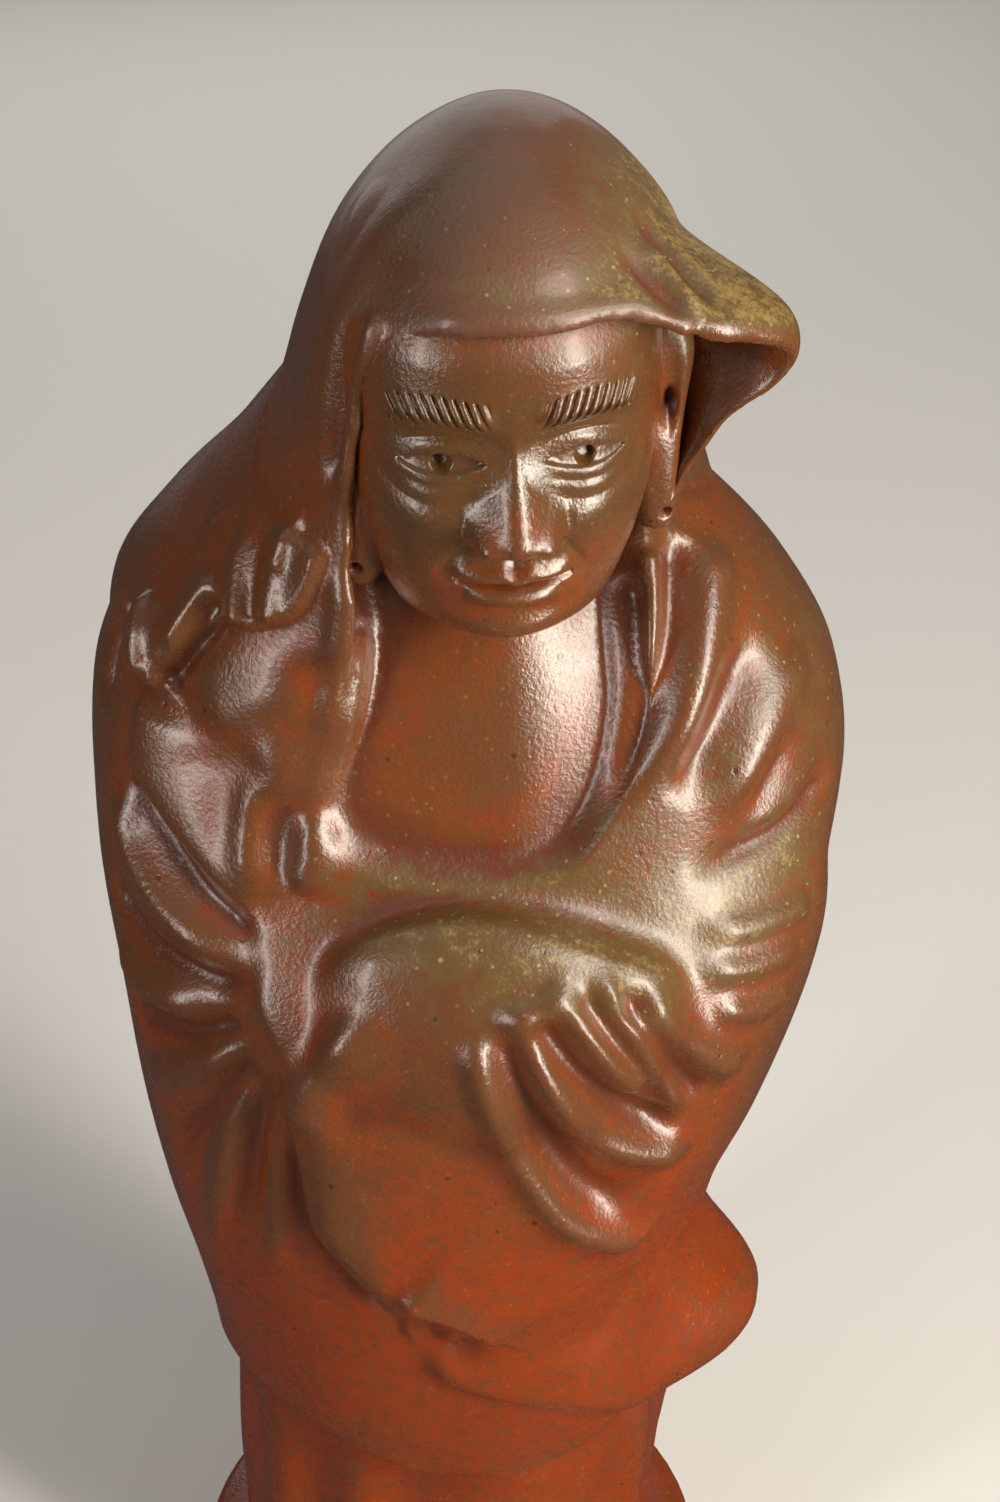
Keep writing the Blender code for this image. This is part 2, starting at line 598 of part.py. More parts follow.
def back_folds(obj):
    """Plainer folds on the sides away from the front view: long falls on the robe, slack on the mantle."""
    points, normals = get_points(obj), get_normals(obj)
    x, y, z = points.T
    turn = np.degrees(np.arctan2(y, x - 2.0)) % 360
    rise = np.zeros(len(points))
    for k, angle in enumerate((22, 47, 72, 96, 121, 147, 170)):
        lean = angle + (z - 130.0) * 0.05 * (-1 if k % 2 else 1)
        away = (turn - lean + 180) % 360 - 180
        fall = ease((z - 52) / 35) * ease((198 - 7 * (k % 3) - z) / 45)
        rise += (2.4 + 0.8 * (k % 2)) * dome(away, 0, 6.0 + 1.5 * (k % 3), 1) * fall
    for k, angle in enumerate((48, 80, 108, 140)):
        lean = 92 + (angle - 92) * (1 + (230.0 - z) * 0.006)
        away = (turn - lean + 180) % 360 - 180
        fall = ease((z - 204) / 12) * ease((292 - 6 * (k % 2) - z) / 40)
        rise += (2.2 + 0.6 * (k % 2)) * dome(away, 0, 8.0 + 2 * (k % 2), 1) * fall
    set_points(obj, points + normals * (rise * ease((y + 14) / 16))[:, None])


def skirt_folds(obj):
    """Upright folds all round the underskirt."""
    points, normals = get_points(obj), get_normals(obj)
    x, y, z = points.T
    turn = np.arctan2(y, x + 2.0)
    wave = np.cos(turn * 10 + 1.4 * np.sin(turn * 3 + z * 0.02)) + 0.5 * np.cos(turn * 6 + 2.0)
    fall = ease((z - 1) / 6) * ease((64 - z) / 12)
    set_points(obj, points + normals * (1.3 * wave * fall)[:, None])


def build_cloth():
    """Robe, drape, hands wrapped in cloth, and the hood with its mantle, as one skin."""
    robe = layer("robe", ROBE, around(ROBE_HEM))
    skirt = layer("skirt", SKIRT)
    skirt_folds(skirt)
    hands = ellipsoid("hands", (6, -37, 169), (36, 25, 26))
    drape = layer("drape", ROBE, around(DRAPE_HEM), drape_grow, top=200.0)
    body = fuse("body", [robe, skirt, hands, drape], CLOTH_VOXEL)
    relax(body, 6)
    hood = layer("hood", HOOD, around(HOOD_HEM))
    hood = combine(hood, head_hollow(), "DIFFERENCE")
    hood = relax(fuse("hood", [hood], CLOTH_VOXEL), 3)
    grab(hood, (39.0, -32.0, 284.0), (28, 32, 18), (20.0, 1.0, 2.0))
    grab(hood, (44.0, -30.0, 270.0), (25, 28, 20), (10.5, 0.0, -2.0))
    grab(hood, (50.0, -30.0, 300.0), (30, 34, 18), (0.0, 0.0, -2.6))
    figure = fuse("statue", [body, hood], CLOTH_VOXEL)
    relax(figure, 6)
    soften_near(figure, (48.0, -32.0, 278.0), (30, 34, 26), 14)
    grab(figure, (44.0, -4.0, 74.0), (26, 34, 24), (15.0, -2.0, 0.0))
    soften_near(figure, (4.0, -58.0, 149.0), (42, 20, 20), 16)
    recess_chest(figure)
    carve(figure, FRONT_FOLDS)
    soften_near(figure, (46.0, -28.0, 264.0), (22, 30, 18), 10)
    back_folds(figure)
    return figure


# The ear at the viewer's right, in the head's units, its two holes, and where its twin lies under the hood
EAR = (
    Section(-22.0, 18.8, 21.6, -7.0, -2.5, 2.0),
    Section(-20.6, 17.6, 22.8, -8.6, -1.0, 2.3),
    Section(-17.5, 17.0, 23.2, -9.0, -0.5, 2.6),
    Section(-11, 16.8, 23.2, -8.4, 0.5, 2.8),
    Section(-3, 17.0, 23.9, -7.4, 2.5, 2.8),
    Section(4, 17.0, 24.7, -7.0, 3.5, 2.8),
    Section(9, 17.5, 24.0, -6.0, 3.0, 2.5),
)
EAR_HOLE = (21.3, -2.7)
PIN_HOLE = (21.2, -18.2)
LEFT_EAR_SHIFT = (4.3, -4.5, -4.8)
LEFT_EAR_LEAN = math.radians(6.0)

# The head, in its own units: eye line at 0, brow 6.5, foot of the nose -11, mouth -17, chin -28.5
SKULL = (
    Section(-42, -13, 13, -9, 16, 2.0),
    Section(-33, -12.5, 12.5, -11, 15, 2.0),
    Section(-30, -13, 13, -14.5, 14, 2.1),
    Section(-28, -13.8, 13.8, -19, 14, 2.15),
    Section(-25, -15.2, 15.2, -21.8, 14.5, 2.2),
    Section(-21, -16.6, 16.6, -22.6, 15, 2.25),
    Section(-16, -18.2, 18.2, -23.0, 16.5, 2.25),
    Section(-10, -19.6, 19.6, -23.0, 18.5, 2.2),
    Section(-3, -20.5, 20.5, -22.6, 21, 2.2),
    Section(3, -20.7, 20.7, -22.6, 23, 2.2),
    Section(8, -20.6, 20.6, -23.2, 24, 2.2),
    Section(14, -20.0, 20.0, -22.6, 24, 2.2),
    Section(20, -17.5, 17.5, -19.6, 22, 2.15),
    Section(25, -12.8, 12.8, -14.2, 17, 2.1),
    Section(28, -6.5, 6.5, -7.5, 10, 2.0),
    Section(28.8, -1.5, 1.5, -1.5, 4, 2.0),
)


def eye_relief(x, z):
    """Sockets, lids lowered calmly over the eyes, and the pupils."""
    out = np.abs(x) - 8.7
    z = z + 0.10 * out
    u = out / 5.1
    almond = np.clip(1 - u * u, 0, 1)
    upper = 0.1 + 1.5 * almond**0.8
    lower = 0.1 - 1.25 * almond**0.9
    h = -3.3 * dome(out + 0.6, z - 0.4, 6.6, 4.4)
    h += 3.0 * np.clip(1 - (out / 7.8) ** 2 - (z / 5.6) ** 2, 0, 1) ** 1.5
    slit = ease(np.minimum(upper - z, z - lower) / 0.4 + 0.5) * (almond > 0)
    h -= 0.75 * slit
    h -= 0.55 * np.exp(-(((z - upper - 2.3) / 0.5) ** 2)) * almond
    h -= 0.3 * np.exp(-(((z - lower + 1.7) / 0.6) ** 2)) * almond
    pupil = np.hypot(out, z - 0.1)
    return h - 1.5 * ease((1.4 - pupil) / 0.6) * slit


def nose_relief(x, z):
    out = np.abs(x)
    high = curve_through((-12.4, -11.2, -9.8, -8.2, -5, -1, 3, 7), (0, 1.6, 4.9, 5.8, 4.3, 2.4, 1.0, 0), z)
    wide = curve_through((-12, -8, -3, 2, 8), (4.2, 4.0, 3.1, 2.8, 3.6), z)
    h = high * np.exp(-((out / wide) ** 2))
    h += 2.5 * dome(out - 4.3, z + 9.3, 1.9, 2.0)
    h -= 0.9 * dome(out - 6.2, z + 8.6, 1.0, 2.2)
    return h


def mouth_relief(x, z):
    across = np.clip(1 - (x / 7.4) ** 2, 0, 1)
    line = -16.9 + 0.5 * (x / 7.4) ** 2
    bow = -15.2 - 0.35 * dome(x, 0, 1.2, 1) + 0.25 * dome(np.abs(x) - 1.9, 0, 1.3, 1)
    h = 1.2 * dome(x, z + 16.5, 10, 5.5)
    h += 1.25 * np.exp(-(((z - bow) / 1.2) ** 2)) * across**0.7
    h += 1.6 * np.exp(-(((z + 18.7) / 1.4) ** 2)) * np.clip(1 - (x / 6) ** 2, 0, 1) ** 0.7
    h -= 1.3 * np.exp(-(((z - line) / 0.5) ** 2)) * across**0.35
    h -= 0.5 * dome(x, z + 13.2, 0.9, 1.6)
    h -= 0.5 * dome(np.abs(x) - 8.0, z + 16.4, 1.2, 1.6)
    return h


def brow_relief(x, z):
    out = np.abs(x)
    arch = 7.6 + 0.7 * np.sin(np.clip((out - 3) / 13, 0, 1) * math.pi) - 1.2 * ease((out - 8) / 9)
    pad = ease((out - 1.8) / 3.4) * ease((16.2 - out) / 4)
    return 1.3 * np.exp(-(((z - arch) / 1.7) ** 2)) * pad


def cheek_relief(x, z):
    out = np.abs(x)
    h = 1.5 * dome(out - 11, z + 7.0, 6.0, 5.0)
    h += 1.8 * dome(x, z + 25.0, 6.5, 3.6)
    h -= 0.9 * dome(x, z + 21.6, 6.0, 1.5)
    h += 0.6 * dome(x, z - 15, 12, 6)
    fold = out - (5.4 + (-9.5 - z) * 0.55)
    h -= 0.5 * np.exp(-((fold / 0.9) ** 2)) * ease((-8.5 - z) / 2) * ease((z + 17.5) / 4)
    return h


def dense(low, high, count, middle, spread, more):
    """Places from low to high, closer together around a middle."""
    fine = np.linspace(low, high, 800)
    weight = 1 + more * np.exp(-(((fine - middle) / spread) ** 2))
    total = np.concatenate([[0], np.cumsum((weight[1:] + weight[:-1]) / 2)])
    return np.interp(np.linspace(0, total[-1], count), total, fine)


def build_face_and_skull():
    turn = np.radians(dense(90, 450, HEAD_COLUMNS + 1, 270, 62, 3.0)[:-1])
    levels = dense(SKULL[0].z, SKULL[-1].z, HEAD_ROWS, -6.0, 16.0, 1.6)
    rows = []
    for z in levels:
        ring = skin(SKULL, turn, np.full(len(turn), z))
        x, y = ring[:, 0], ring[:, 1]
        relief = eye_relief(x, z) + nose_relief(x, z) + mouth_relief(x, z)
        relief += brow_relief(x, z) + cheek_relief(x, z)
        ring[:, 1] -= relief * ease((-y - 5) / 6)
        rows.append(ring)
    return closed_rows("skull", rows)


def build_ear(side):
    """A long ear facing forwards, joined to the head along its inner side, with its two holes."""
    turn = np.linspace(0, 2 * math.pi, 32, endpoint=False)
    levels = np.linspace(EAR[0].z, EAR[-1].z, 24)
    rows = [skin(EAR, turn, np.full(len(turn), z)) * (side, 1, 1) for z in levels]
    ear = relax(fuse("ear", [closed_rows("strip", rows)], SMALL_VOXEL), 2)
    points = get_points(ear)
    x, y, z = points.T
    out = x * side
    sink = 0.9 * dome(out - EAR_HOLE[0], z - EAR_HOLE[1] - 1.5, 1.3, 6.5)
    sink += 2.6 * dome(out - EAR_HOLE[0], z - EAR_HOLE[1], 0.7, 2.2)
    sink += 2.4 * dome(out - PIN_HOLE[0], z - PIN_HOLE[1], 0.6, 0.6)
    points[:, 1] += sink * ease((-4.0 - y) / 2)
    set_points(ear, points)
    if side < 0:
        bake_transform(ear, Matrix.Translation(LEFT_EAR_SHIFT) @ Matrix.Rotation(LEFT_EAR_LEAN, 4, "Y"))
    return thin_out(ear, EAR_TRIANGLES)


def build_head():
    head = thin_out(build_face_and_skull(), HEAD_TRIANGLES)
    for side in (-1, 1):
        combine(head, build_ear(side), "UNION")
    turn = Matrix.Rotation(HEAD_YAW, 4, "Z") @ Matrix.Rotation(HEAD_NOD, 4, "X")
    bake_transform(head, Matrix.Translation(HEAD_AT) @ turn @ Matrix.Diagonal(HEAD_SIZE.to_4d()))
    return head


def build_foot(side):
    """The front of a bare foot showing under the underskirt, with its toes."""
    middle = -3.0 + side * 13.0
    parts = [ellipsoid("foot", (middle, -32, 4.5), (8.0, 11, 5.6))]
    for k in range(5):
        across = middle - side * (5.6 - 2.9 * k)
        long = (1.0, 0.2, -0.4, -1.3, -2.4)[k]
        big = (2.5, 1.8, 1.7, 1.6, 1.45)[k]
        parts.append(ellipsoid("toe", (across, -40.5 - long, 2.3), (big * 0.86, 3.4, big)))
    foot = fuse("foot", parts, SMALL_VOXEL)
    relax(foot, 2)
    return thin_out(foot, FOOT_TRIANGLES)


def build_base():
    """The low oval base, its edges a little rounded, with a flat underside."""
    turn = np.linspace(0, 2 * math.pi, 64, endpoint=False)
    wide, deep, high = BASE_WIDTH / UNIT / 2, BASE_DEPTH / UNIT / 2, BASE_HEIGHT / UNIT
    rows = []
    for inset, z in ((1.0, -high), (0.2, 0.8 - high), (0, 2.0 - high), (0, -2.2), (0.5, -0.9), (1.8, 0)):
        x = BASE_MIDDLE.x + (wide - inset) * np.cos(turn)
        y = BASE_MIDDLE.y + (deep - inset) * np.sin(turn)
        rows.append(np.column_stack([x, y, np.full(len(x), z)]))
    return closed_rows("base", rows)


def clay():
    material = bpy.data.materials.new("fired clay")
    material.use_nodes = True
    shader = material.node_tree.nodes["Principled BSDF"]
    shader.inputs["Base Color"].default_value = CLAY_COLOUR
    shader.inputs["Roughness"].default_value = CLAY_ROUGHNESS
    shader.inputs["Metallic"].default_value = 0.0
    return material


def to_real_size(obj):
    """From figure units above the base to metres above the underside, over the middle of the base."""
    lift = Matrix.Translation((0, 0, BASE_HEIGHT))
    bake_transform(obj, lift @ Matrix.Scale(UNIT, 4) @ Matrix.Translation(-BASE_MIDDLE))


def main():
    clear_scene()
    statue = thin_out(build_cloth(), CLOTH_TRIANGLES)
    combine(statue, build_base(), "UNION")
    for side in (-1, 1):
        combine(statue, build_foot(side), "UNION")
    combine(statue, build_head(), "UNION")
    to_real_size(statue)
    statue.name = "statue"
    statue.data.name = "statue"
    statue.data.materials.clear()
    statue.data.materials.append(clay())
    home = bpy.data.collections.new("statue")
    bpy.context.scene.collection.children.link(home)
    home.objects.link(statue)
    bpy.context.scene.collection.objects.unlink(statue)


if __name__ == "__main__":
    main()
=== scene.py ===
"""The looks of the hooded sage in stoneware: one fired piece, its clay, a floor and light.

The figure is modelled in units of 1/310 of its own height, with x to the viewer's right, y to the
back and z up from the top of the base, and is brought to real size at the end. Folds that show from
the front are drawn on a front view, 1000 wide and 1502 high, seen from in front and above.
"""

import math
from collections import namedtuple

import bmesh
import bpy
import numpy as np
from mathutils import Matrix, Vector
from mathutils.bvhtree import BVHTree

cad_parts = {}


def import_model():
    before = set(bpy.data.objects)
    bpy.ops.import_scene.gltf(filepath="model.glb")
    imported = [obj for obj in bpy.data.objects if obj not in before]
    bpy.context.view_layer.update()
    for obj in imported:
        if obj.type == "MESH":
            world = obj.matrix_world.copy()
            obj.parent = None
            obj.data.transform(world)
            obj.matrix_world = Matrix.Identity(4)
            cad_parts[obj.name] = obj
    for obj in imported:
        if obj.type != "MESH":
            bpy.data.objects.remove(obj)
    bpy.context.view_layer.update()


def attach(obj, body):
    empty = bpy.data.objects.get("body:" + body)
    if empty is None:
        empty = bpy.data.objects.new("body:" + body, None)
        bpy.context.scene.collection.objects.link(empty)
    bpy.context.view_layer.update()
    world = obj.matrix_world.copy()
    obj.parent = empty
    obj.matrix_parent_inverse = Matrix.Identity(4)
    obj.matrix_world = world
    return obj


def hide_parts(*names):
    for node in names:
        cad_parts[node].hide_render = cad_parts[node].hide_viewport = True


# Driving sizes, in metres
FIGURE_HEIGHT = 0.310
BASE_WIDTH = 0.098
BASE_DEPTH = 0.092
BASE_HEIGHT = 0.010

# The figure's own units, and where the middle of the base lies among them
UNITS_HIGH = 310.0
UNIT = FIGURE_HEIGHT / UNITS_HIGH
BASE_MIDDLE = Vector((-2.0, -2.0, 0.0))

# The front view: where it is seen from, how far it looks down, and its picture plane
EYE = Vector((8.0, -433.0, 494.0))
EYE_DOWN = math.radians(35.0)
VIEW_WIDE, VIEW_HIGH = 1000.0, 1502.0
HALF_FIELD = math.tan(math.radians(13.5))

# The head: its middle in the figure, its size against the head's own units, and its turn
HEAD_AT = Vector((7.0, -17.5, 272.5))
HEAD_SIZE = Vector((1.20, 1.16, 1.15))
HEAD_YAW = math.radians(7.0)
HEAD_NOD = math.radians(5.0)

# Finenesses, in figure units, rounds of softening, and the triangles kept
CLOTH_VOXEL = 0.92
SMALL_VOXEL = 0.4
LOFT_STEP = 2.0
RING_POINTS = 132
CLOTH_THICK = 3.0
BODY_ROUNDS = 9
HOOD_ROUNDS = 5
FIGURE_ROUNDS = 9
SMALL_ROUNDS = 2
HEAD_ROWS, HEAD_COLUMNS = 330, 400
CLOTH_TRIANGLES = 136000
HEAD_TRIANGLES = 46000
EAR_TRIANGLES = 3000
FOOT_TRIANGLES = 2600

Section = namedtuple("Section", "z left right front back square")
Fold = namedtuple("Fold", "profile height width far start end line")


def stack(*rows):
    return [Section(*row) for row in rows]


# The cloth body: its reach to the left, right, front and back at each height
ROBE = stack(
    (40, -44, 40, -38, 42, 2.2),
    (58, -45, 43, -42, 43, 2.2),
    (75, -46, 42, -46, 44, 2.3),
    (95, -49, 39, -49, 45, 2.3),
    (115, -53, 44, -52, 46, 2.3),
    (137, -56, 53, -54, 47, 2.3),
    (160, -58, 60, -54, 48, 2.3),
    (180, -60, 64, -50, 48, 2.3),
    (195, -60.5, 66, -43, 48, 2.2),
    (208, -59.5, 64, -40, 47, 2.2),
    (222, -54, 57, -37, 44, 2.2),
    (236, -43, 46, -32, 38, 2.1),
    (248, -26, 33, -25, 28, 2.0),
    (255, -8, 24, -17, 16, 2.0),
)
SKIRT = stack(
    (-3, -42, 37, -37, 34, 2.4),
    (12, -42, 37, -37, 34, 2.4),
    (30, -42.5, 38, -36, 36, 2.3),
    (50, -42, 40, -36, 38, 2.3),
    (80, -38, 37, -34, 36, 2.2),
)
HOOD = stack(
    (186, -55, 58, -31, 51.5, 2.2),
    (205, -57, 58, -36, 51, 2.2),
    (222, -56, 53, -38, 48.5, 2.2),
    (240, -41, 43, -39, 43, 2.1),
    (258, -28, 39, -42, 38, 2.1),
    (275, -23, 38.5, -45, 34, 2.1),
    (289, -18, 35.5, -46, 28, 2.15),
    (298, -12, 29.5, -42, 21, 2.15),
    (304, -5.5, 23.5, -35, 13, 2.1),
    (308.5, 1, 17, -24, 2, 2.0),
    (310, 6, 12, -17, -6, 2.0),
)

# Where each layer of cloth ends: heights around the body, from the viewer's right towards the back
ROBE_HEM = (
    (0, 66), (60, 60), (120, 57), (165, 60), (195, 68), (208, 72), (225, 73), (236, 71),
    (251, 64), (266, 59), (282, 57.5), (295, 59), (320, 66),
)
DRAPE_HEM = (
    (0, 68), (30, 66), (60, 92), (240, 106), (264, 106), (269, 97), (275, 90), (286, 84),
    (300, 77), (316, 69), (330, 68),
)
HOOD_HEM = (
    (0, 244), (35, 214), (70, 196), (100, 190), (135, 196), (170, 206), (195, 206), (212, 197),
    (222, 212), (238, 212), (250, 230), (265, 246), (300, 252), (330, 252),
)

# The drape's top, and its edge at the viewer's left: the angle at each height
DRAPE_TOP = 200.0
DRAPE_LEFT_EDGE = (
    (100, 266), (111, 263), (117, 259), (125, 253), (132, 248), (152, 245), (160, 242), (175, 236),
)

# The wrapped hands: their middle and radii
HANDS_AT = (6, -37, 169)
HANDS_RADII = (36, 25, 26)

# Where the cloth is pulled out: the middle, the reach, and the pull
FLARE_PULLS = (
    ((39.0, -32.0, 284.0), (28, 32, 18), (20.0, 1.0, 2.0)),
    ((44.0, -30.0, 270.0), (25, 28, 20), (10.5, 0.0, -2.0)),
    ((50.0, -30.0, 300.0), (30, 34, 18), (0.0, 0.0, -2.6)),
)
HEM_PULL = ((44.0, -4.0, 74.0), (26, 34, 24), (15.0, -2.0, 0.0))

# Where the cloth is evened out: the middle, the reach, and the rounds
FLARE_ROOT = ((48.0, -32.0, 278.0), (30, 34, 26), 14)
UNDER_HANDS = ((4.0, -58.0, 149.0), (42, 20, 20), 16)
UNDER_MANTLE = ((-33.0, -30.0, 224.0), (26, 22, 19), 34)
COLLAR_FOOT = ((-19.0, -38.0, 200.0), (10, 11, 10), 8)
UNDER_FLARE = ((46.0, -28.0, 264.0), (22, 30, 18), 10)

# Where the long falls of cloth at the back stand around the body, on the robe and on the mantle
ROBE_FALLS = (22, 47, 72, 96, 121, 147, 170)
MANTLE_FALLS = (48, 80, 108, 140)

# The toes from the big one outwards: how far each stands forward, and its size
TOES = ((1.0, 2.5), (0.2, 1.8), (-0.4, 1.7), (-1.3, 1.6), (-2.4, 1.45))


def ease(t):
    """0 to 1 with level ends."""
    t = np.clip(t, 0.0, 1.0)
    return t * t * (3 - 2 * t)


def dome(x, y, rx, ry):
    """A soft round rise, 1 in the middle."""
    return np.exp(-((x / rx) ** 2) - (y / ry) ** 2)


def curve_through(places, values, at, closed=0.0):
    """Values on a smooth curve through the given ones. A closed curve repeats after its length."""
    x = np.asarray(places, float)
    y = np.asarray(values, float)
    at = np.asarray(at, float)
    if closed:
        at = (at - x[0]) % closed + x[0]
        x = np.concatenate([[x[-1] - closed], x, [x[0] + closed, x[1] + closed]])
        y = np.concatenate([[y[-1]], y, [y[0], y[1]]])
    gap = np.diff(x)
    rise = np.diff(y) / gap
    slope = np.zeros_like(y)
    both = rise[:-1] + rise[1:]
    same_way = rise[:-1] * rise[1:] > 0
    slope[1:-1] = np.where(same_way, 2 * rise[:-1] * rise[1:] / np.where(same_way, both, 1.0), 0.0)
    slope[0], slope[-1] = rise[0], rise[-1]
    at = np.clip(at, x[0], x[-1])
    i = np.clip(np.searchsorted(x, at, side="right") - 1, 0, len(x) - 2)
    t = (at - x[i]) / gap[i]
    return (
        y[i] * (1 + 2 * t) * (1 - t) ** 2
        + y[i + 1] * t * t * (3 - 2 * t)
        + gap[i] * (slope[i] * t * (1 - t) ** 2 - slope[i + 1] * t * t * (1 - t))
    )


def around(table):
    """Heights around the body as a function of the angle."""
    return lambda degrees: curve_through(
        [a for a, _ in table], [z for _, z in table], degrees, closed=360.0
    )


def skin(sections, turn, z, grow=0.0):
    """Points of a body at the angles and heights given, its reaches grown outward by grow."""
    places = [s.z for s in sections]
    left, right, front, back, square = (
        curve_through(places, [s[k] for s in sections], z) for k in range(1, 6)
    )
    c, s = np.cos(turn), np.sin(turn)
    u = np.sign(c) * np.abs(c) ** (2 / square)
    v = np.sign(s) * np.abs(s) ** (2 / square)
    x = (left + right) / 2 + u * ((right - left) / 2 + grow)
    y = (front + back) / 2 + v * ((back - front) / 2 + grow)
    return np.stack([x, y, z], axis=-1)


def mesh_object(name, points, faces):
    mesh = bpy.data.meshes.new(name)
    mesh.from_pydata(np.asarray(points).tolist(), [], faces)
    bm = bmesh.new()
    bm.from_mesh(mesh)
    bmesh.ops.recalc_face_normals(bm, faces=bm.faces)
    bm.to_mesh(mesh)
    bm.free()
    obj = bpy.data.objects.new(name, mesh)
    bpy.context.scene.collection.objects.link(obj)
    return obj


def closed_rows(name, rows):
    """A closed body from stacked rings of equal length, capped at both ends."""
    n = len(rows[0])
    faces = [
        (r * n + k, r * n + (k + 1) % n, (r + 1) * n + (k + 1) % n, (r + 1) * n + k)
        for r in range(len(rows) - 1)
        for k in range(n)
    ]
    faces.append(tuple(range(n - 1, -1, -1)))
    faces.append(tuple(range((len(rows) - 1) * n, len(rows) * n)))
    return mesh_object(name, np.concatenate(rows), faces)


def layer(name, sections, hem=None, grow=None, top=None):
    """A layer of cloth: sections stacked from its hem to its top.

    The hem's height may differ around the body, by angle from the viewer's right towards the back.
    Under the hem the cloth turns in to its thickness.
    """
    turn = np.linspace(0, 2 * math.pi, RING_POINTS, endpoint=False)
    degrees = np.degrees(turn)
    low = hem(degrees) if hem else np.full(RING_POINTS, float(sections[0].z))
    high = sections[-1].z if top is None else top
    share = np.linspace(0, 1, int((high - low.min()) / LOFT_STEP))
    rows = []

    def row(z, more):
        swell = grow(degrees, z) if grow else 0.0
        return skin(sections, turn, z, swell + more)

    if hem:
        rows.append(row(low + 2 * CLOTH_THICK, -3.0 * CLOTH_THICK))
        rows.append(row(low + 1.0, -1.6 * CLOTH_THICK))
        rows.append(row(low - 0.8, -0.8 * CLOTH_THICK))
    for t in share:
        rows.append(row(low + (high - low) * t, 0.0))
    return closed_rows(name, rows)


def ellipsoid(name, centre, radii):
    bpy.ops.mesh.primitive_uv_sphere_add(segments=40, ring_count=20, radius=1, location=centre)
    obj = bpy.context.active_object
    obj.name = name
    obj.scale = radii
    return obj


def bake_transform(obj, matrix=None):
    bpy.context.view_layer.update()
    obj.data.transform(obj.matrix_world if matrix is None else matrix)
    obj.matrix_world = Matrix.Identity(4)


def apply_modifiers(obj):
    graph = bpy.context.evaluated_depsgraph_get()
    made = bpy.data.meshes.new_from_object(obj.evaluated_get(graph))
    obj.modifiers.clear()
    obj.data = made


def fuse(name, pieces, voxel):
    """Several overlapping solids made one by a voxel remesh."""
    bm = bmesh.new()
    for piece in pieces:
        bake_transform(piece)
        bm.from_mesh(piece.data)
    mesh = bpy.data.meshes.new(name)
    bm.to_mesh(mesh)
    bm.free()
    for piece in pieces:
        bpy.data.objects.remove(piece, do_unlink=True)
    obj = bpy.data.objects.new(name, mesh)
    bpy.context.scene.collection.objects.link(obj)
    remesh = obj.modifiers.new("one skin", "REMESH")
    remesh.mode = "VOXEL"
    remesh.voxel_size = voxel
    apply_modifiers(obj)
    return obj


def relax(obj, rounds):
    smooth = obj.modifiers.new("soften", "SMOOTH")
    smooth.factor = 0.5
    smooth.iterations = rounds
    apply_modifiers(obj)
    return obj


def thin_out(obj, triangles):
    """Fewer triangles, kept where the surface bends most."""
    obj.data.calc_loop_triangles()
    have = len(obj.data.loop_triangles)
    if have > triangles:
        decimate = obj.modifiers.new("fewer", "DECIMATE")
        decimate.ratio = triangles / have
        decimate.use_collapse_triangulate = True
        apply_modifiers(obj)
    return obj


def combine(obj, other, operation):
    bake_transform(other)
    boolean = obj.modifiers.new(operation, "BOOLEAN")
    boolean.operation = operation
    boolean.object = other
    boolean.solver = "EXACT"
    apply_modifiers(obj)
    bpy.data.objects.remove(other, do_unlink=True)
    return obj


def get_points(obj):
    points = np.empty(len(obj.data.vertices) * 3, np.float32)
    obj.data.vertices.foreach_get("co", points)
    return points.reshape(-1, 3).astype(float)


def edge_ends(obj):
    ends = np.empty(len(obj.data.edges) * 2, np.int32)
    obj.data.edges.foreach_get("vertices", ends)
    return ends.reshape(-1, 2).T


def evened(values, ends):
    """Rows of values at the points, each made the mean of its own and its neighbours'."""
    a, b = ends
    count = len(values)
    joined = 1 + np.bincount(a, minlength=count) + np.bincount(b, minlength=count)
    columns = [v + np.bincount(a, v[b], count) + np.bincount(b, v[a], count) for v in values.T]
    return np.stack(columns, axis=1) / joined[:, None]


def get_normals(obj, rounds=12):
    """The outward directions at the points, evened out between neighbours."""
    normals = np.empty(len(obj.data.vertices) * 3, np.float32)
    obj.data.vertices.foreach_get("normal", normals)
    normals = normals.reshape(-1, 3).astype(float)
    ends = edge_ends(obj)
    for _ in range(rounds):
        normals = evened(normals, ends)
        normals /= np.linalg.norm(normals, axis=1)[:, None]
    return normals


def set_points(obj, points):
    obj.data.vertices.foreach_set("co", points.astype(np.float32).ravel())
    obj.data.update()


def grab(obj, centre, reach, pull):
    """Pulls the cloth near a point, fading out to nothing at its reach."""
    points = get_points(obj)
    away = np.linalg.norm((points - centre) / np.asarray(reach), axis=1)
    set_points(obj, points + np.outer(ease(1 - away), pull))


def soften_near(obj, centre, reach, rounds):
    """Evens out the cloth near a point, fading out to nothing at its reach."""
    points = get_points(obj)
    ends = edge_ends(obj)
    share = ease(2 - 2 * np.linalg.norm((points - centre) / np.asarray(reach), axis=1))[:, None]
    for _ in range(rounds):
        points += share * (evened(points, ends) - points)
    set_points(obj, points)


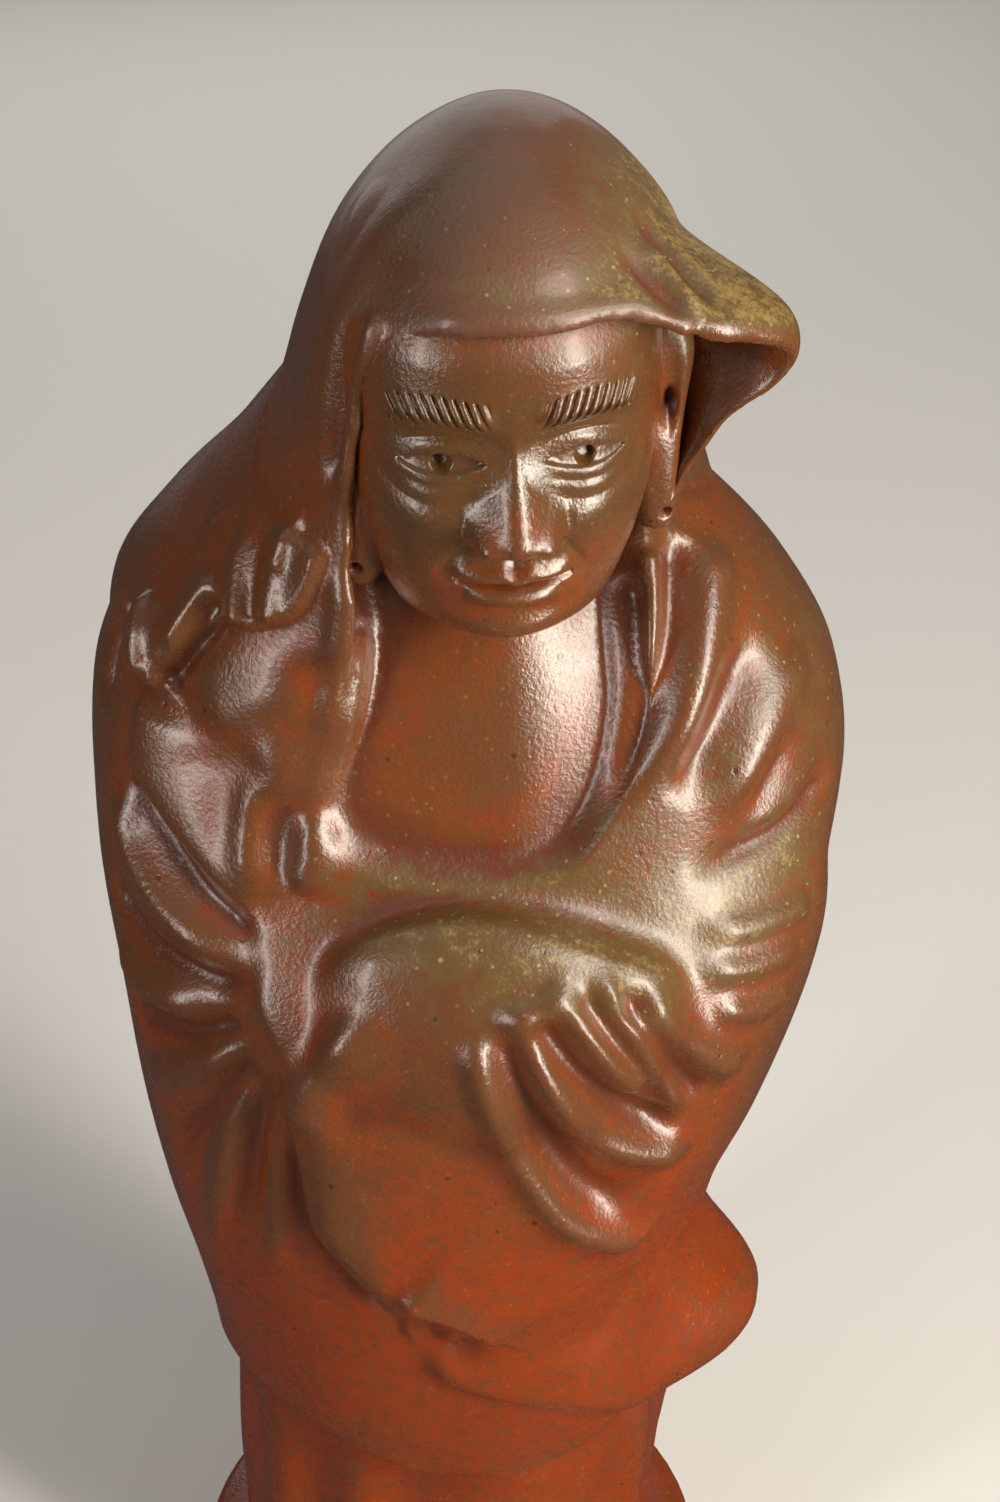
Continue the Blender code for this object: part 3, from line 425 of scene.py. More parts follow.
def sight(px, py):
    """The direction from the eye through a point of the front view."""
    across = (px - VIEW_WIDE / 2) / (VIEW_HIGH / 2) * HALF_FIELD
    above = (VIEW_HIGH / 2 - py) / (VIEW_HIGH / 2) * HALF_FIELD
    ahead = Vector((0, math.cos(EYE_DOWN), -math.sin(EYE_DOWN)))
    up = Vector((0, math.sin(EYE_DOWN), math.cos(EYE_DOWN)))
    return (ahead + Vector((1, 0, 0)) * across + up * above).normalized()


def smooth_line(points, samples=24):
    """Points close together on a smooth line through a few given ones."""
    points = np.asarray(points, float)
    if len(points) == 2:
        return points[0] + np.linspace(0, 1, samples)[:, None] * (points[1] - points[0])
    ends = np.vstack([2 * points[0] - points[1], points, 2 * points[-1] - points[-2]])
    line = []
    per = max(2, samples // (len(points) - 1))
    for k in range(1, len(ends) - 2):
        a, b, c, d = ends[k - 1 : k + 3]
        for t in np.linspace(0, 1, per, endpoint=False):
            square = (2 * a - 5 * b + 4 * c - d) * t * t
            cube = (3 * b - a - 3 * c + d) * t**3
            line.append(0.5 * (2 * b + (c - a) * t + square + cube))
    line.append(points[-1])
    return np.asarray(line)


def on_surface(tree, line):
    """Where a line drawn on the front view falls on the figure, with the normals there."""
    places, normals = [], []
    for px, py in line:
        place, normal, _, _ = tree.ray_cast(EYE, sight(px, py))
        if place is not None:
            places.append(place)
            normals.append(normal)
    return np.asarray(places), np.asarray(normals)


def ridge(s, width, far):
    """Rounded across, with a flank of its own breadth on each side of the line."""
    return np.where(s < 0, np.exp(-((s / width) ** 2)), np.exp(-((s / far) ** 2)))


def crease(s, width, far):
    """Sharp at the line, with a flank of its own breadth on each side."""
    return 1.0 / np.cosh(np.where(s < 0, s / width, s / far) * 1.6)


def step(s, width, far):
    """Raised on the positive side, sharply at the line, and fading out far from it."""
    return ease(s / width + 0.5) * np.exp(-np.clip(s, 0, None) / far)


def fold_rise(points, places, normals, fold):
    """How far one fold lifts each point."""
    far = fold.far or fold.width
    reach = 3.2 * max(fold.width, far)
    near = ((points > places.min(0) - reach) & (points < places.max(0) + reach)).all(axis=1)
    near = np.flatnonzero(near)
    some = points[near]
    best = np.full(len(near), 1e9)
    side = np.zeros(len(near))
    along = np.zeros(len(near))
    legs = np.diff(places, axis=0)
    lengths = np.linalg.norm(legs, axis=1)
    walked = 0.0
    for k, (leg, length) in enumerate(zip(legs, lengths)):
        if length < 1e-6:
            continue
        to = some - places[k]
        t = np.clip(to @ leg / length**2, 0, 1)
        off = to - t[:, None] * leg
        away = np.linalg.norm(off, axis=1)
        closer = away < best
        best[closer] = away[closer]
        side[closer] = (off @ np.cross(leg, normals[k]))[closer]
        along[closer] = (walked + t * length)[closer]
        walked += length
    along /= walked
    signed = np.where(side < 0, -best, best)
    fade = ease(along / fold.start) if fold.start else 1.0
    fade = fade * ease((1 - along) / fold.end) if fold.end else fade
    rise = np.zeros(len(points))
    rise[near] = fold.height * fold.profile(signed, fold.width, far) * fade
    return rise


def carve(obj, folds):
    """Works a set of folds drawn on the front view into the cloth."""
    tree = BVHTree.FromPolygons(
        [v.co for v in obj.data.vertices], [p.vertices for p in obj.data.polygons]
    )
    points, normals = get_points(obj), get_normals(obj)
    rise = np.zeros(len(points))
    for fold in map(Fold._make, folds):
        places, outward = on_surface(tree, smooth_line(fold.line))
        if len(places) > 1:
            rise += fold_rise(points, places, outward, fold)
    set_points(obj, points + normals * rise[:, None])


# Folds on the front view: profile, height, breadth of each flank, fade at each end, and the line.
# Of a line drawn downwards the first flank is the viewer's right one. A second of 0 is as broad.
FRONT_FOLDS = (
    # The hood's edge and flare
    (ridge, 1.6, 1.6, 0, 0.1, 0.2, (
        (382, 308), (369, 347), (356, 380), (351, 428), (343, 470), (338, 510))),
    (ridge, -1.8, 2.2, 0, 0.2, 0.2, ((366, 306), (350, 350), (338, 428), (328, 500))),
    (ridge, 1.0, 2.2, 0, 0.1, 0.1, (
        (402, 312), (440, 320), (490, 324), (540, 323), (582, 317), (608, 309), (632, 304),
        (657, 312), (682, 328), (700, 334), (722, 329), (748, 324), (782, 318))),
    (ridge, 1.4, 5.0, 7.0, 0.4, 0.4, ((520, 150), (410, 205), (350, 300), (300, 430), (252, 520))),
    (ridge, -1.5, 2.0, 2.6, 0.4, 0.25, (
        (623, 193), (652, 232), (683, 267), (706, 292), (728, 310))),
    (ridge, 1.0, 1.8, 0, 0.3, 0.25, ((640, 232), (668, 268), (694, 300), (708, 318))),
    (ridge, -1.5, 2.0, 2.4, 0.4, 0.25, ((612, 234), (640, 266), (668, 296), (690, 322))),
    # The mantle's lower edge and its pleats
    (step, 2.3, 1.8, 16.0, 0.05, 0.15, (
        (328, 545), (320, 575), (304, 608), (279, 621), (251, 625), (223, 621), (193, 637),
        (162, 680), (150, 682), (140, 660), (143, 618), (136, 585))),
    (ridge, 0.9, 1.8, 0, 0.5, 0.02, ((256, 500), (243, 560), (242, 622))),
    (ridge, 0.9, 2.0, 0, 0.5, 0.02, ((298, 500), (282, 560), (274, 619))),
    (ridge, -0.7, 1.8, 0, 0.4, 0.02, ((276, 500), (262, 560), (258, 622))),
    (ridge, 0.8, 1.4, 0, 0.3, 0.2, ((302, 505), (291, 545), (284, 575))),
    (crease, -3.0, 3.0, 1.8, 0.2, 0.05, ((228, 590), (206, 622), (186, 650), (163, 679))),
    (ridge, 1.4, 2.2, 0, 0.2, 0.2, ((222, 574), (196, 614), (172, 652))),
    (ridge, 1.2, 1.8, 0, 0.2, 0.1, ((150, 590), (145, 630), (146, 672))),
    (crease, -2.6, 1.6, 2.6, 0.1, 0.3, ((128, 588), (117, 622), (108, 665), (102, 715))),
    (ridge, 1.3, 5.0, 0, 0.3, 0.3, ((186, 712), (240, 716), (296, 702), (326, 676))),
    # The collar
    (ridge, 1.5, 1.6, 2.4, 0.15, 0.3, ((345, 570), (344, 620), (337, 666), (330, 703), (316, 742))),
    (ridge, 1.3, 2.0, 0, 0.15, 0.5, ((359, 590), (361, 650), (352, 715), (336, 777), (323, 830))),
    (ridge, 2.4, 3.4, 2.6, 0.3, 0.3, ((314, 810), (308, 850), (304, 900))),
    (ridge, -1.3, 3.6, 3.6, 0.4, 0.4, ((296, 770), (285, 830), (280, 890))),
    (ridge, -2.4, 2.6, 0, 0.1, 0.4, ((628, 570), (634, 640), (636, 710), (622, 780), (598, 850))),
    (ridge, 1.3, 2.0, 0, 0.1, 0.3, ((652, 545), (655, 620), (649, 700))),
    (ridge, -2.6, 2.8, 0, 0.1, 0.4, ((678, 530), (675, 620), (660, 690), (644, 740), (620, 810))),
    # The sleeve at the viewer's left
    (ridge, 1.8, 4.6, 0, 0.4, 0.4, ((266, 712), (279, 775), (270, 826))),
    (ridge, 1.4, 2.8, 0, 0.4, 0.3, ((255, 760), (251, 815), (252, 860), (264, 905))),
    (ridge, 2.2, 10.0, 2.6, 0.1, 0.3, (
        (152, 690), (145, 734), (149, 774), (172, 817), (199, 860), (229, 900), (268, 940))),
    (crease, -2.6, 2.4, 0, 0.2, 0.2, ((130, 765), (142, 800), (181, 855), (220, 903), (262, 948))),
    (ridge, 2.2, 3.0, 0, 0.2, 0.3, (
        (124, 776), (126, 823), (138, 863), (162, 903), (205, 945), (248, 965))),
    (crease, -2.6, 2.8, 0, 0.2, 0.2, ((102, 860), (140, 935), (200, 978), (255, 985))),
    (ridge, 2.0, 3.4, 0, 0.3, 0.3, ((112, 930), (150, 985), (215, 1012))),
    (crease, -2.4, 2.8, 0, 0.2, 0.2, ((130, 1010), (190, 1035), (252, 1020))),
    (ridge, 2.0, 3.0, 0, 0.3, 0.3, ((150, 1075), (200, 1065), (255, 1040))),
    (crease, -2.2, 2.6, 0, 0.2, 0.2, ((175, 1145), (215, 1105), (262, 1050))),
    (ridge, 1.8, 3.2, 0, 0.3, 0.4, ((248, 1070), (226, 1150), (212, 1260))),
    (crease, -2.4, 2.8, 0, 0.3, 0.4, ((268, 1060), (256, 1130), (240, 1250))),
    (ridge, 1.2, 3.2, 0, 0.4, 0.4, ((285, 1120), (278, 1200), (270, 1290))),
    # The sleeve at the viewer's right
    (ridge, 2.4, 4.4, 0, 0.2, 0.3, ((716, 530), (708, 620), (690, 710), (654, 800))),
    (ridge, -2.6, 4.0, 0, 0.3, 0.3, ((760, 625), (738, 680), (706, 748), (672, 810))),
    (ridge, 2.0, 4.4, 0, 0.3, 0.3, ((804, 640), (778, 705), (740, 778), (704, 824))),
    (ridge, -1.2, 2.8, 0, 0.4, 0.4, ((790, 725), (766, 782), (738, 822))),
    (ridge, 1.2, 3.0, 0, 0.4, 0.4, ((816, 745), (798, 796), (764, 826), (728, 852))),
    (crease, -2.6, 2.0, 4.0, 0.3, 0.4, ((838, 768), (786, 826), (732, 858), (680, 886))),
    (ridge, 1.6, 2.6, 0, 0.3, 0.2, ((690, 932), (750, 926), (812, 900))),
    (ridge, 1.4, 2.4, 0, 0.3, 0.2, ((690, 968), (745, 968), (800, 945))),
    (ridge, 1.4, 2.4, 0, 0.3, 0.2, ((705, 1008), (750, 1010), (790, 990))),
    # The arch of cloth over the hands
    (ridge, 2.2, 3.0, 9.0, 0.2, 0.2, (
        (318, 1008), (345, 966), (400, 938), (480, 929), (560, 947), (640, 975), (705, 998))),
    (ridge, -1.2, 5.0, 5.0, 0.2, 0.2, ((330, 938), (410, 903), (500, 898), (590, 923), (660, 948))),
    (ridge, 3.0, 6.0, 3.4, 0.3, 0.3, (
        (384, 1008), (350, 1040), (318, 1078), (300, 1112), (298, 1140))),
    # The hanging loops
    (ridge, 2.8, 3.2, 0, 0.1, 0.15, (
        (478, 1020), (488, 1085), (520, 1155), (566, 1218), (622, 1236), (668, 1208))),
    (ridge, -3.0, 4.2, 0, 0.1, 0.2, (
        (500, 1020), (520, 1095), (556, 1160), (604, 1196), (655, 1188))),
    (ridge, 2.8, 3.4, 0, 0.1, 0.15, (
        (514, 988), (527, 1040), (554, 1096), (598, 1136), (650, 1150), (696, 1144))),
    (ridge, -2.8, 3.0, 0, 0.1, 0.2, (
        (537, 1008), (562, 1055), (600, 1095), (645, 1118), (684, 1124))),
    (ridge, 2.4, 3.4, 0, 0.15, 0.2, ((532, 988), (575, 1024), (612, 1064), (648, 1092))),
    (ridge, -1.8, 2.2, 0, 0.15, 0.2, ((574, 985), (606, 1030), (640, 1072), (666, 1102))),
    (ridge, 1.8, 2.0, 0, 0.15, 0.2, (
        (588, 968), (612, 1010), (642, 1052), (670, 1094), (684, 1118))),
    (ridge, -1.6, 2.4, 0, 0.15, 0.2, ((612, 982), (642, 1028), (676, 1068), (704, 1098))),
    (ridge, 2.4, 3.6, 0, 0.15, 0.2, ((628, 1000), (662, 1026), (698, 1050), (742, 1068))),
    (ridge, 1.8, 6.0, 0, 0.4, 0.3, ((702, 1170), (680, 1260), (640, 1335))),
    (ridge, -1.8, 6.0, 0, 0.4, 0.3, ((650, 1240), (610, 1320), (560, 1370))),
    # The outer drape's edge
    (step, 2.6, 2.4, 16.0, 0.1, 0.25, (
        (414, 1350), (396, 1312), (368, 1284), (338, 1250), (311, 1216), (302, 1170),
        (294, 1122), (288, 1090))),
    (crease, -2.0, 1.6, 2.4, 0.2, 0.2, (
        (398, 1328), (362, 1290), (331, 1255), (305, 1220), (297, 1174), (290, 1124))),
    (ridge, -4.4, 4.4, 4.0, 0.15, 0.5, ((398, 1304), (422, 1331), (452, 1353), (498, 1372))),
    (ridge, 2.2, 2.2, 0, 0.5, 0.5, ((436, 1334), (448, 1346), (460, 1360))),
    (step, 2.8, 2.0, 10.0, 0.6, 0.1, (
        (540, 1356), (493, 1337), (458, 1318), (420, 1302), (392, 1290))),
)


def drape_grow(degrees, z):
    """How far the outer drape stands over the robe: only in front and at the viewer's right."""
    edge = curve_through([z for z, _ in DRAPE_LEFT_EDGE], [turn for _, turn in DRAPE_LEFT_EDGE], z)
    share = ease((degrees - edge) / 7.0) * ease((375 - degrees) / 40.0)
    return 6.5 * share * ease((DRAPE_TOP - z) / 30.0) - 3.5


def head_hollow():
    """The cutter for the hood's face opening: a squarish arch, deeper at the viewer's right."""
    left, right, spring, top, foot, square = -14.5, 34.8, 262.0, 291.8, 236.0, 3.6
    middle, half_wide, rise = (left + right) / 2, (right - left) / 2, top - spring
    turn = np.linspace(0, math.pi, 41)
    c, s = np.cos(turn), np.sin(turn)
    arch_x = middle + half_wide * np.sign(c) * np.abs(c) ** (2 / square)
    arch_z = spring + rise * np.abs(s) ** (2 / square)
    height = np.clip((arch_z - spring) / rise, 0, 1)
    arch_z -= (5.6 * dome(arch_x - 30, 0, 5.0, 1) - 1.4 * dome(arch_x - 21.5, 0, 4.0, 1)) * height
    arch_x += 3.0 * height * np.where(c < 0, 1, 0)
    arch_x = np.concatenate([arch_x, [left, right]])
    arch_z = np.concatenate([arch_z, [foot, foot]])
    share = (arch_x - left) / (right - left)
    rows = [np.column_stack([arch_x, np.full(len(arch_x), y), arch_z]) for y in (-80.0, -40.0)]
    rows.append(np.column_stack([middle + (arch_x - middle) * 0.92, -22 + 15 * share, arch_z - 1]))
    return closed_rows("hollow", rows)


def recess_chest(obj):
    """Sinks the bare chest between the two sides of the collar."""
    points, normals = get_points(obj), get_normals(obj)
    x, y, z = points.T
    left = curve_through((195, 204, 213, 222, 236, 245), (-15, -19.5, -18, -15, -13, -12.5), z)
    right = curve_through((195, 203, 213, 224, 236, 245), (18, 23, 27, 29, 29, 28), z)
    edges = np.stack([x - left, right - x, z - 197.0])
    inside = -3.0 * np.log(np.exp(-np.clip(edges, -60, 60) / 3.0).sum(axis=0))
    round_off = 4.0 + 2.6 * ease((x - 9) / 18) + 2.2 * ease((z - 206) / 30)
    sink = round_off * ease(inside / 5.0 + 0.5) * ease((-y - 5) / 8) * ease((252 - z) / 4)
    set_points(obj, points - normals * sink[:, None])


def back_folds(obj):
    """Plainer folds away from the front view: long falls on the robe, slack on the mantle."""
    points, normals = get_points(obj), get_normals(obj)
    x, y, z = points.T
    turn = np.degrees(np.arctan2(y, x - 2.0)) % 360
    rise = np.zeros(len(points))
    for k, angle in enumerate(ROBE_FALLS):
        lean = angle + (z - 130.0) * 0.05 * (-1 if k % 2 else 1)
        away = (turn - lean + 180) % 360 - 180
        fall = ease((z - 52) / 35) * ease((198 - 7 * (k % 3) - z) / 45)
        rise += (2.4 + 0.8 * (k % 2)) * dome(away, 0, 6.0 + 1.5 * (k % 3), 1) * fall
    for k, angle in enumerate(MANTLE_FALLS):
        lean = 92 + (angle - 92) * (1 + (230.0 - z) * 0.006)
        away = (turn - lean + 180) % 360 - 180
        fall = ease((z - 204) / 12) * ease((292 - 6 * (k % 2) - z) / 40)
        rise += (2.2 + 0.6 * (k % 2)) * dome(away, 0, 8.0 + 2 * (k % 2), 1) * fall
    set_points(obj, points + normals * (rise * ease((y + 14) / 16))[:, None])


def skirt_folds(obj):
    """Upright folds all round the underskirt."""
    points, normals = get_points(obj), get_normals(obj)
    x, y, z = points.T
    turn = np.arctan2(y, x + 2.0)
    wave = np.cos(turn * 10 + 1.4 * np.sin(turn * 3 + z * 0.02)) + 0.5 * np.cos(turn * 6 + 2.0)
    fall = ease((z - 1) / 6) * ease((64 - z) / 12)
    set_points(obj, points + normals * (1.3 * wave * fall)[:, None])


def build_cloth():
    """Robe, drape, hands wrapped in cloth, and the hood with its mantle, as one skin."""
    robe = layer("robe", ROBE, around(ROBE_HEM))
    skirt = layer("skirt", SKIRT)
    skirt_folds(skirt)
    hands = ellipsoid("hands", HANDS_AT, HANDS_RADII)
    drape = layer("drape", ROBE, around(DRAPE_HEM), drape_grow, top=DRAPE_TOP)
    body = fuse("body", [robe, skirt, hands, drape], CLOTH_VOXEL)
    relax(body, BODY_ROUNDS)
    hood = layer("hood", HOOD, around(HOOD_HEM))
    hood = combine(hood, head_hollow(), "DIFFERENCE")
    hood = relax(fuse("hood", [hood], CLOTH_VOXEL), HOOD_ROUNDS)
    for pull in FLARE_PULLS:
        grab(hood, *pull)
    figure = fuse("statue", [body, hood], CLOTH_VOXEL)
    relax(figure, FIGURE_ROUNDS)
    soften_near(figure, *FLARE_ROOT)
    grab(figure, *HEM_PULL)
    soften_near(figure, *UNDER_HANDS)
    soften_near(figure, *UNDER_MANTLE)
    recess_chest(figure)
    carve(figure, FRONT_FOLDS)
    soften_near(figure, *COLLAR_FOOT)
    soften_near(figure, *UNDER_FLARE)
    back_folds(figure)
    return figure


# The ear at the viewer's right, in the head's units, its two holes, and where its twin lies
EAR = stack(
    (-22.0, 18.8, 21.6, -7.0, -2.5, 2.0),
    (-20.6, 17.6, 22.8, -8.6, -1.0, 2.3),
    (-17.5, 17.0, 23.2, -9.0, -0.5, 2.6),
    (-11, 16.8, 23.2, -8.4, 0.5, 2.8),
    (-3, 17.0, 23.9, -7.4, 2.5, 2.8),
    (4, 17.0, 24.7, -7.0, 3.5, 2.8),
    (9, 17.5, 24.0, -6.0, 3.0, 2.5),
)
EAR_HOLE = (21.3, -2.7)
PIN_HOLE = (21.2, -18.2)
LEFT_EAR_SHIFT = (4.3, -4.5, -4.8)
LEFT_EAR_LEAN = math.radians(6.0)

# The head, in its own units: eye line at 0, brow 6.5, foot of the nose -11, mouth -17, chin -28.5
SKULL = stack(
    (-42, -13, 13, -9, 16, 2.0),
    (-33, -12.5, 12.5, -11, 15, 2.0),
    (-30, -13, 13, -14.5, 14, 2.1),
    (-28, -13.8, 13.8, -19, 14, 2.15),
    (-25, -15.2, 15.2, -21.8, 14.5, 2.2),
    (-21, -16.6, 16.6, -22.6, 15, 2.25),
    (-16, -18.2, 18.2, -23.0, 16.5, 2.25),
    (-10, -19.6, 19.6, -23.0, 18.5, 2.2),
    (-3, -20.5, 20.5, -22.6, 21, 2.2),
    (3, -20.7, 20.7, -22.6, 23, 2.2),
    (8, -20.6, 20.6, -23.2, 24, 2.2),
    (14, -20.0, 20.0, -22.6, 24, 2.2),
    (20, -17.5, 17.5, -19.6, 22, 2.15),
    (25, -12.8, 12.8, -14.2, 17, 2.1),
    (28, -6.5, 6.5, -7.5, 10, 2.0),
    (28.8, -1.5, 1.5, -1.5, 4, 2.0),
)


def eye_relief(x, z):
    """Sockets, lids lowered calmly over the eyes, and the pupils."""
    out = np.abs(x) - 8.7
    z = z + 0.10 * out
    u = out / 5.1
    almond = np.clip(1 - u * u, 0, 1)
    upper = 0.1 + 1.5 * almond**0.8
    lower = 0.1 - 1.25 * almond**0.9
    h = -3.3 * dome(out + 0.6, z - 0.4, 6.6, 4.4)
    h += 3.0 * np.clip(1 - (out / 7.8) ** 2 - (z / 5.6) ** 2, 0, 1) ** 1.5
    slit = ease(np.minimum(upper - z, z - lower) / 0.4 + 0.5) * (almond > 0)
    h -= 0.75 * slit
    h -= 0.55 * np.exp(-(((z - upper - 2.3) / 0.5) ** 2)) * almond
    h -= 0.3 * np.exp(-(((z - lower + 1.7) / 0.6) ** 2)) * almond
    pupil = np.hypot(out, z - 0.1)
    return h - 1.5 * ease((1.4 - pupil) / 0.6) * slit


def nose_relief(x, z):
    out = np.abs(x)
    levels = (-12.4, -11.2, -9.8, -8.2, -5, -1, 3, 7)
    high = curve_through(levels, (0, 1.6, 4.9, 5.8, 4.3, 2.4, 1.0, 0), z)
    wide = curve_through((-12, -8, -3, 2, 8), (4.3, 4.2, 3.7, 3.4, 4.0), z)
    h = high * np.exp(-((out / wide) ** 2))
    h += 2.5 * dome(out - 4.3, z + 9.3, 1.9, 2.0)
    h -= 0.9 * dome(out - 6.2, z + 8.6, 1.0, 2.2)
    return h


def mouth_relief(x, z):
    across = np.clip(1 - (x / 7.4) ** 2, 0, 1)
    line = -16.9 + 0.5 * (x / 7.4) ** 2
    bow = -15.2 - 0.35 * dome(x, 0, 1.2, 1) + 0.25 * dome(np.abs(x) - 1.9, 0, 1.3, 1)
    h = 1.2 * dome(x, z + 16.5, 10, 5.5)
    h += 1.25 * np.exp(-(((z - bow) / 1.2) ** 2)) * across**0.7
    h += 1.6 * np.exp(-(((z + 18.7) / 1.4) ** 2)) * np.clip(1 - (x / 6) ** 2, 0, 1) ** 0.7
    h -= 1.3 * np.exp(-(((z - line) / 0.5) ** 2)) * across**0.35
    h -= 0.5 * dome(x, z + 13.2, 0.9, 1.6)
    h -= 0.5 * dome(np.abs(x) - 8.0, z + 16.4, 1.2, 1.6)
    return h


def brow_relief(x, z):
    """A raised brow with its short slanting strokes cut in."""
    out = np.abs(x)
    arch = 7.6 + 0.7 * np.sin(np.clip((out - 3) / 13, 0, 1) * math.pi) - 1.2 * ease((out - 8) / 9)
    pad = ease((out - 1.8) / 3.4) * ease((16.2 - out) / 4)
    h = 1.3 * np.exp(-(((z - arch) / 1.7) ** 2)) * pad
    stroke = np.cos(math.pi * (out - 0.42 * (z - arch)) / 1.25) ** 2
    reach = ease((out - 2.6) / 1.5) * ease((15.6 - out) / 1.5)
    reach = reach * ease((2.6 - np.abs(z - arch - 0.3)) / 0.9)
    return h - 0.62 * stroke**3 * reach


def cheek_relief(x, z):
    out = np.abs(x)
    h = 1.5 * dome(out - 11, z + 7.0, 6.0, 5.0)
    h += 1.8 * dome(x, z + 25.0, 6.5, 3.6)
    h -= 0.9 * dome(x, z + 21.6, 6.0, 1.5)
    h += 0.6 * dome(x, z - 15, 12, 6)
    fold = out - (5.4 + (-9.5 - z) * 0.55)
    h -= 0.5 * np.exp(-((fold / 0.9) ** 2)) * ease((-8.5 - z) / 2) * ease((z + 17.5) / 4)
    return h


def dense(low, high, count, middle, spread, more):
    """Places from low to high, closer together around a middle."""
    fine = np.linspace(low, high, 800)
    weight = 1 + more * np.exp(-(((fine - middle) / spread) ** 2))
    total = np.concatenate([[0], np.cumsum((weight[1:] + weight[:-1]) / 2)])
    return np.interp(np.linspace(0, total[-1], count), total, fine)


def build_face_and_skull():
    turn = np.radians(dense(90, 450, HEAD_COLUMNS + 1, 270, 62, 3.0)[:-1])
    levels = dense(SKULL[0].z, SKULL[-1].z, HEAD_ROWS, -6.0, 16.0, 1.6)
    rows = []
    for z in levels:
        ring = skin(SKULL, turn, np.full(len(turn), z))
        x, y = ring[:, 0], ring[:, 1]
        relief = eye_relief(x, z) + nose_relief(x, z) + mouth_relief(x, z)
        relief += brow_relief(x, z) + cheek_relief(x, z)
        ring[:, 1] -= relief * ease((-y - 5) / 6)
        rows.append(ring)
    return closed_rows("skull", rows)


def build_ear(side):
    """A long ear facing forwards, joined to the head along its inner side, with its two holes."""
    turn = np.linspace(0, 2 * math.pi, 32, endpoint=False)
    levels = np.linspace(EAR[0].z, EAR[-1].z, 24)
    rows = [skin(EAR, turn, np.full(len(turn), z)) * (side, 1, 1) for z in levels]
    ear = relax(fuse("ear", [closed_rows("strip", rows)], SMALL_VOXEL), SMALL_ROUNDS)
    points = get_points(ear)
    x, y, z = points.T
    out = x * side
    sink = 0.9 * dome(out - EAR_HOLE[0], z - EAR_HOLE[1] - 1.5, 1.3, 6.5)
    sink += 2.6 * dome(out - EAR_HOLE[0], z - EAR_HOLE[1], 0.7, 2.2)
    sink += 2.4 * dome(out - PIN_HOLE[0], z - PIN_HOLE[1], 0.6, 0.6)
    points[:, 1] += sink * ease((-4.0 - y) / 2)
    set_points(ear, points)
    if side < 0:
        lean = Matrix.Rotation(LEFT_EAR_LEAN, 4, "Y")
        bake_transform(ear, Matrix.Translation(LEFT_EAR_SHIFT) @ lean)
    return thin_out(ear, EAR_TRIANGLES)


def build_head():
    head = thin_out(build_face_and_skull(), HEAD_TRIANGLES)
    for side in (-1, 1):
        combine(head, build_ear(side), "UNION")
    turn = Matrix.Rotation(HEAD_YAW, 4, "Z") @ Matrix.Rotation(HEAD_NOD, 4, "X")
    bake_transform(head, Matrix.Translation(HEAD_AT) @ turn @ Matrix.Diagonal(HEAD_SIZE.to_4d()))
    return head


def build_foot(side):
    """The front of a bare foot showing under the underskirt, with its toes."""
    middle = -3.0 + side * 13.0
    parts = [ellipsoid("foot", (middle, -32, 4.5), (8.0, 11, 5.6))]
    for k, (forward, size) in enumerate(TOES):
        across = middle - side * (5.6 - 2.9 * k)
        parts.append(ellipsoid("toe", (across, -40.5 - forward, 2.3), (size * 0.86, 3.4, size)))
    foot = fuse("foot", parts, SMALL_VOXEL)
    relax(foot, SMALL_ROUNDS)
    return thin_out(foot, FOOT_TRIANGLES)


def build_base():
    """The low oval base, its edges a little rounded, with a flat underside."""
    turn = np.linspace(0, 2 * math.pi, 64, endpoint=False)
    wide, deep, high = BASE_WIDTH / UNIT / 2, BASE_DEPTH / UNIT / 2, BASE_HEIGHT / UNIT
    under_edge = ((1.0, -high), (0.2, 0.8 - high), (0, 2.0 - high))
    upper_edge = ((0, -2.2), (0.5, -0.9), (1.8, 0))
    rows = []
    for inset, z in under_edge + upper_edge:
        x = BASE_MIDDLE.x + (wide - inset) * np.cos(turn)
        y = BASE_MIDDLE.y + (deep - inset) * np.sin(turn)
        rows.append(np.column_stack([x, y, np.full(len(x), z)]))
    return closed_rows("base", rows)


# Where each look of the clay lies on the figure

FINE_ROUNDS = 12
WIDE_ROUNDS = 90
ASH_FALLS_FROM = (0.30, -0.10, 0.95)


def depth_below(points, normals, ends, rounds):
    """How far each point lies under the evened surface: above 0 in a hollow, below on a ridge."""
    smooth = points
    for _ in range(rounds):
        smooth = evened(smooth, ends)
    return np.sum((smooth - points) * normals, axis=1)


def store(obj, name, values, rounds=3):
    """Keeps a value of 0 to 1 at each point under a name, evened out between neighbours."""
    ends = edge_ends(obj)
    values = values[:, None]
    for _ in range(rounds):
        values = evened(values, ends)
    mark = obj.data.attributes.new(name, "FLOAT", "POINT")
    mark.data.foreach_set("value", np.clip(values[:, 0], 0, 1).astype(np.float32))


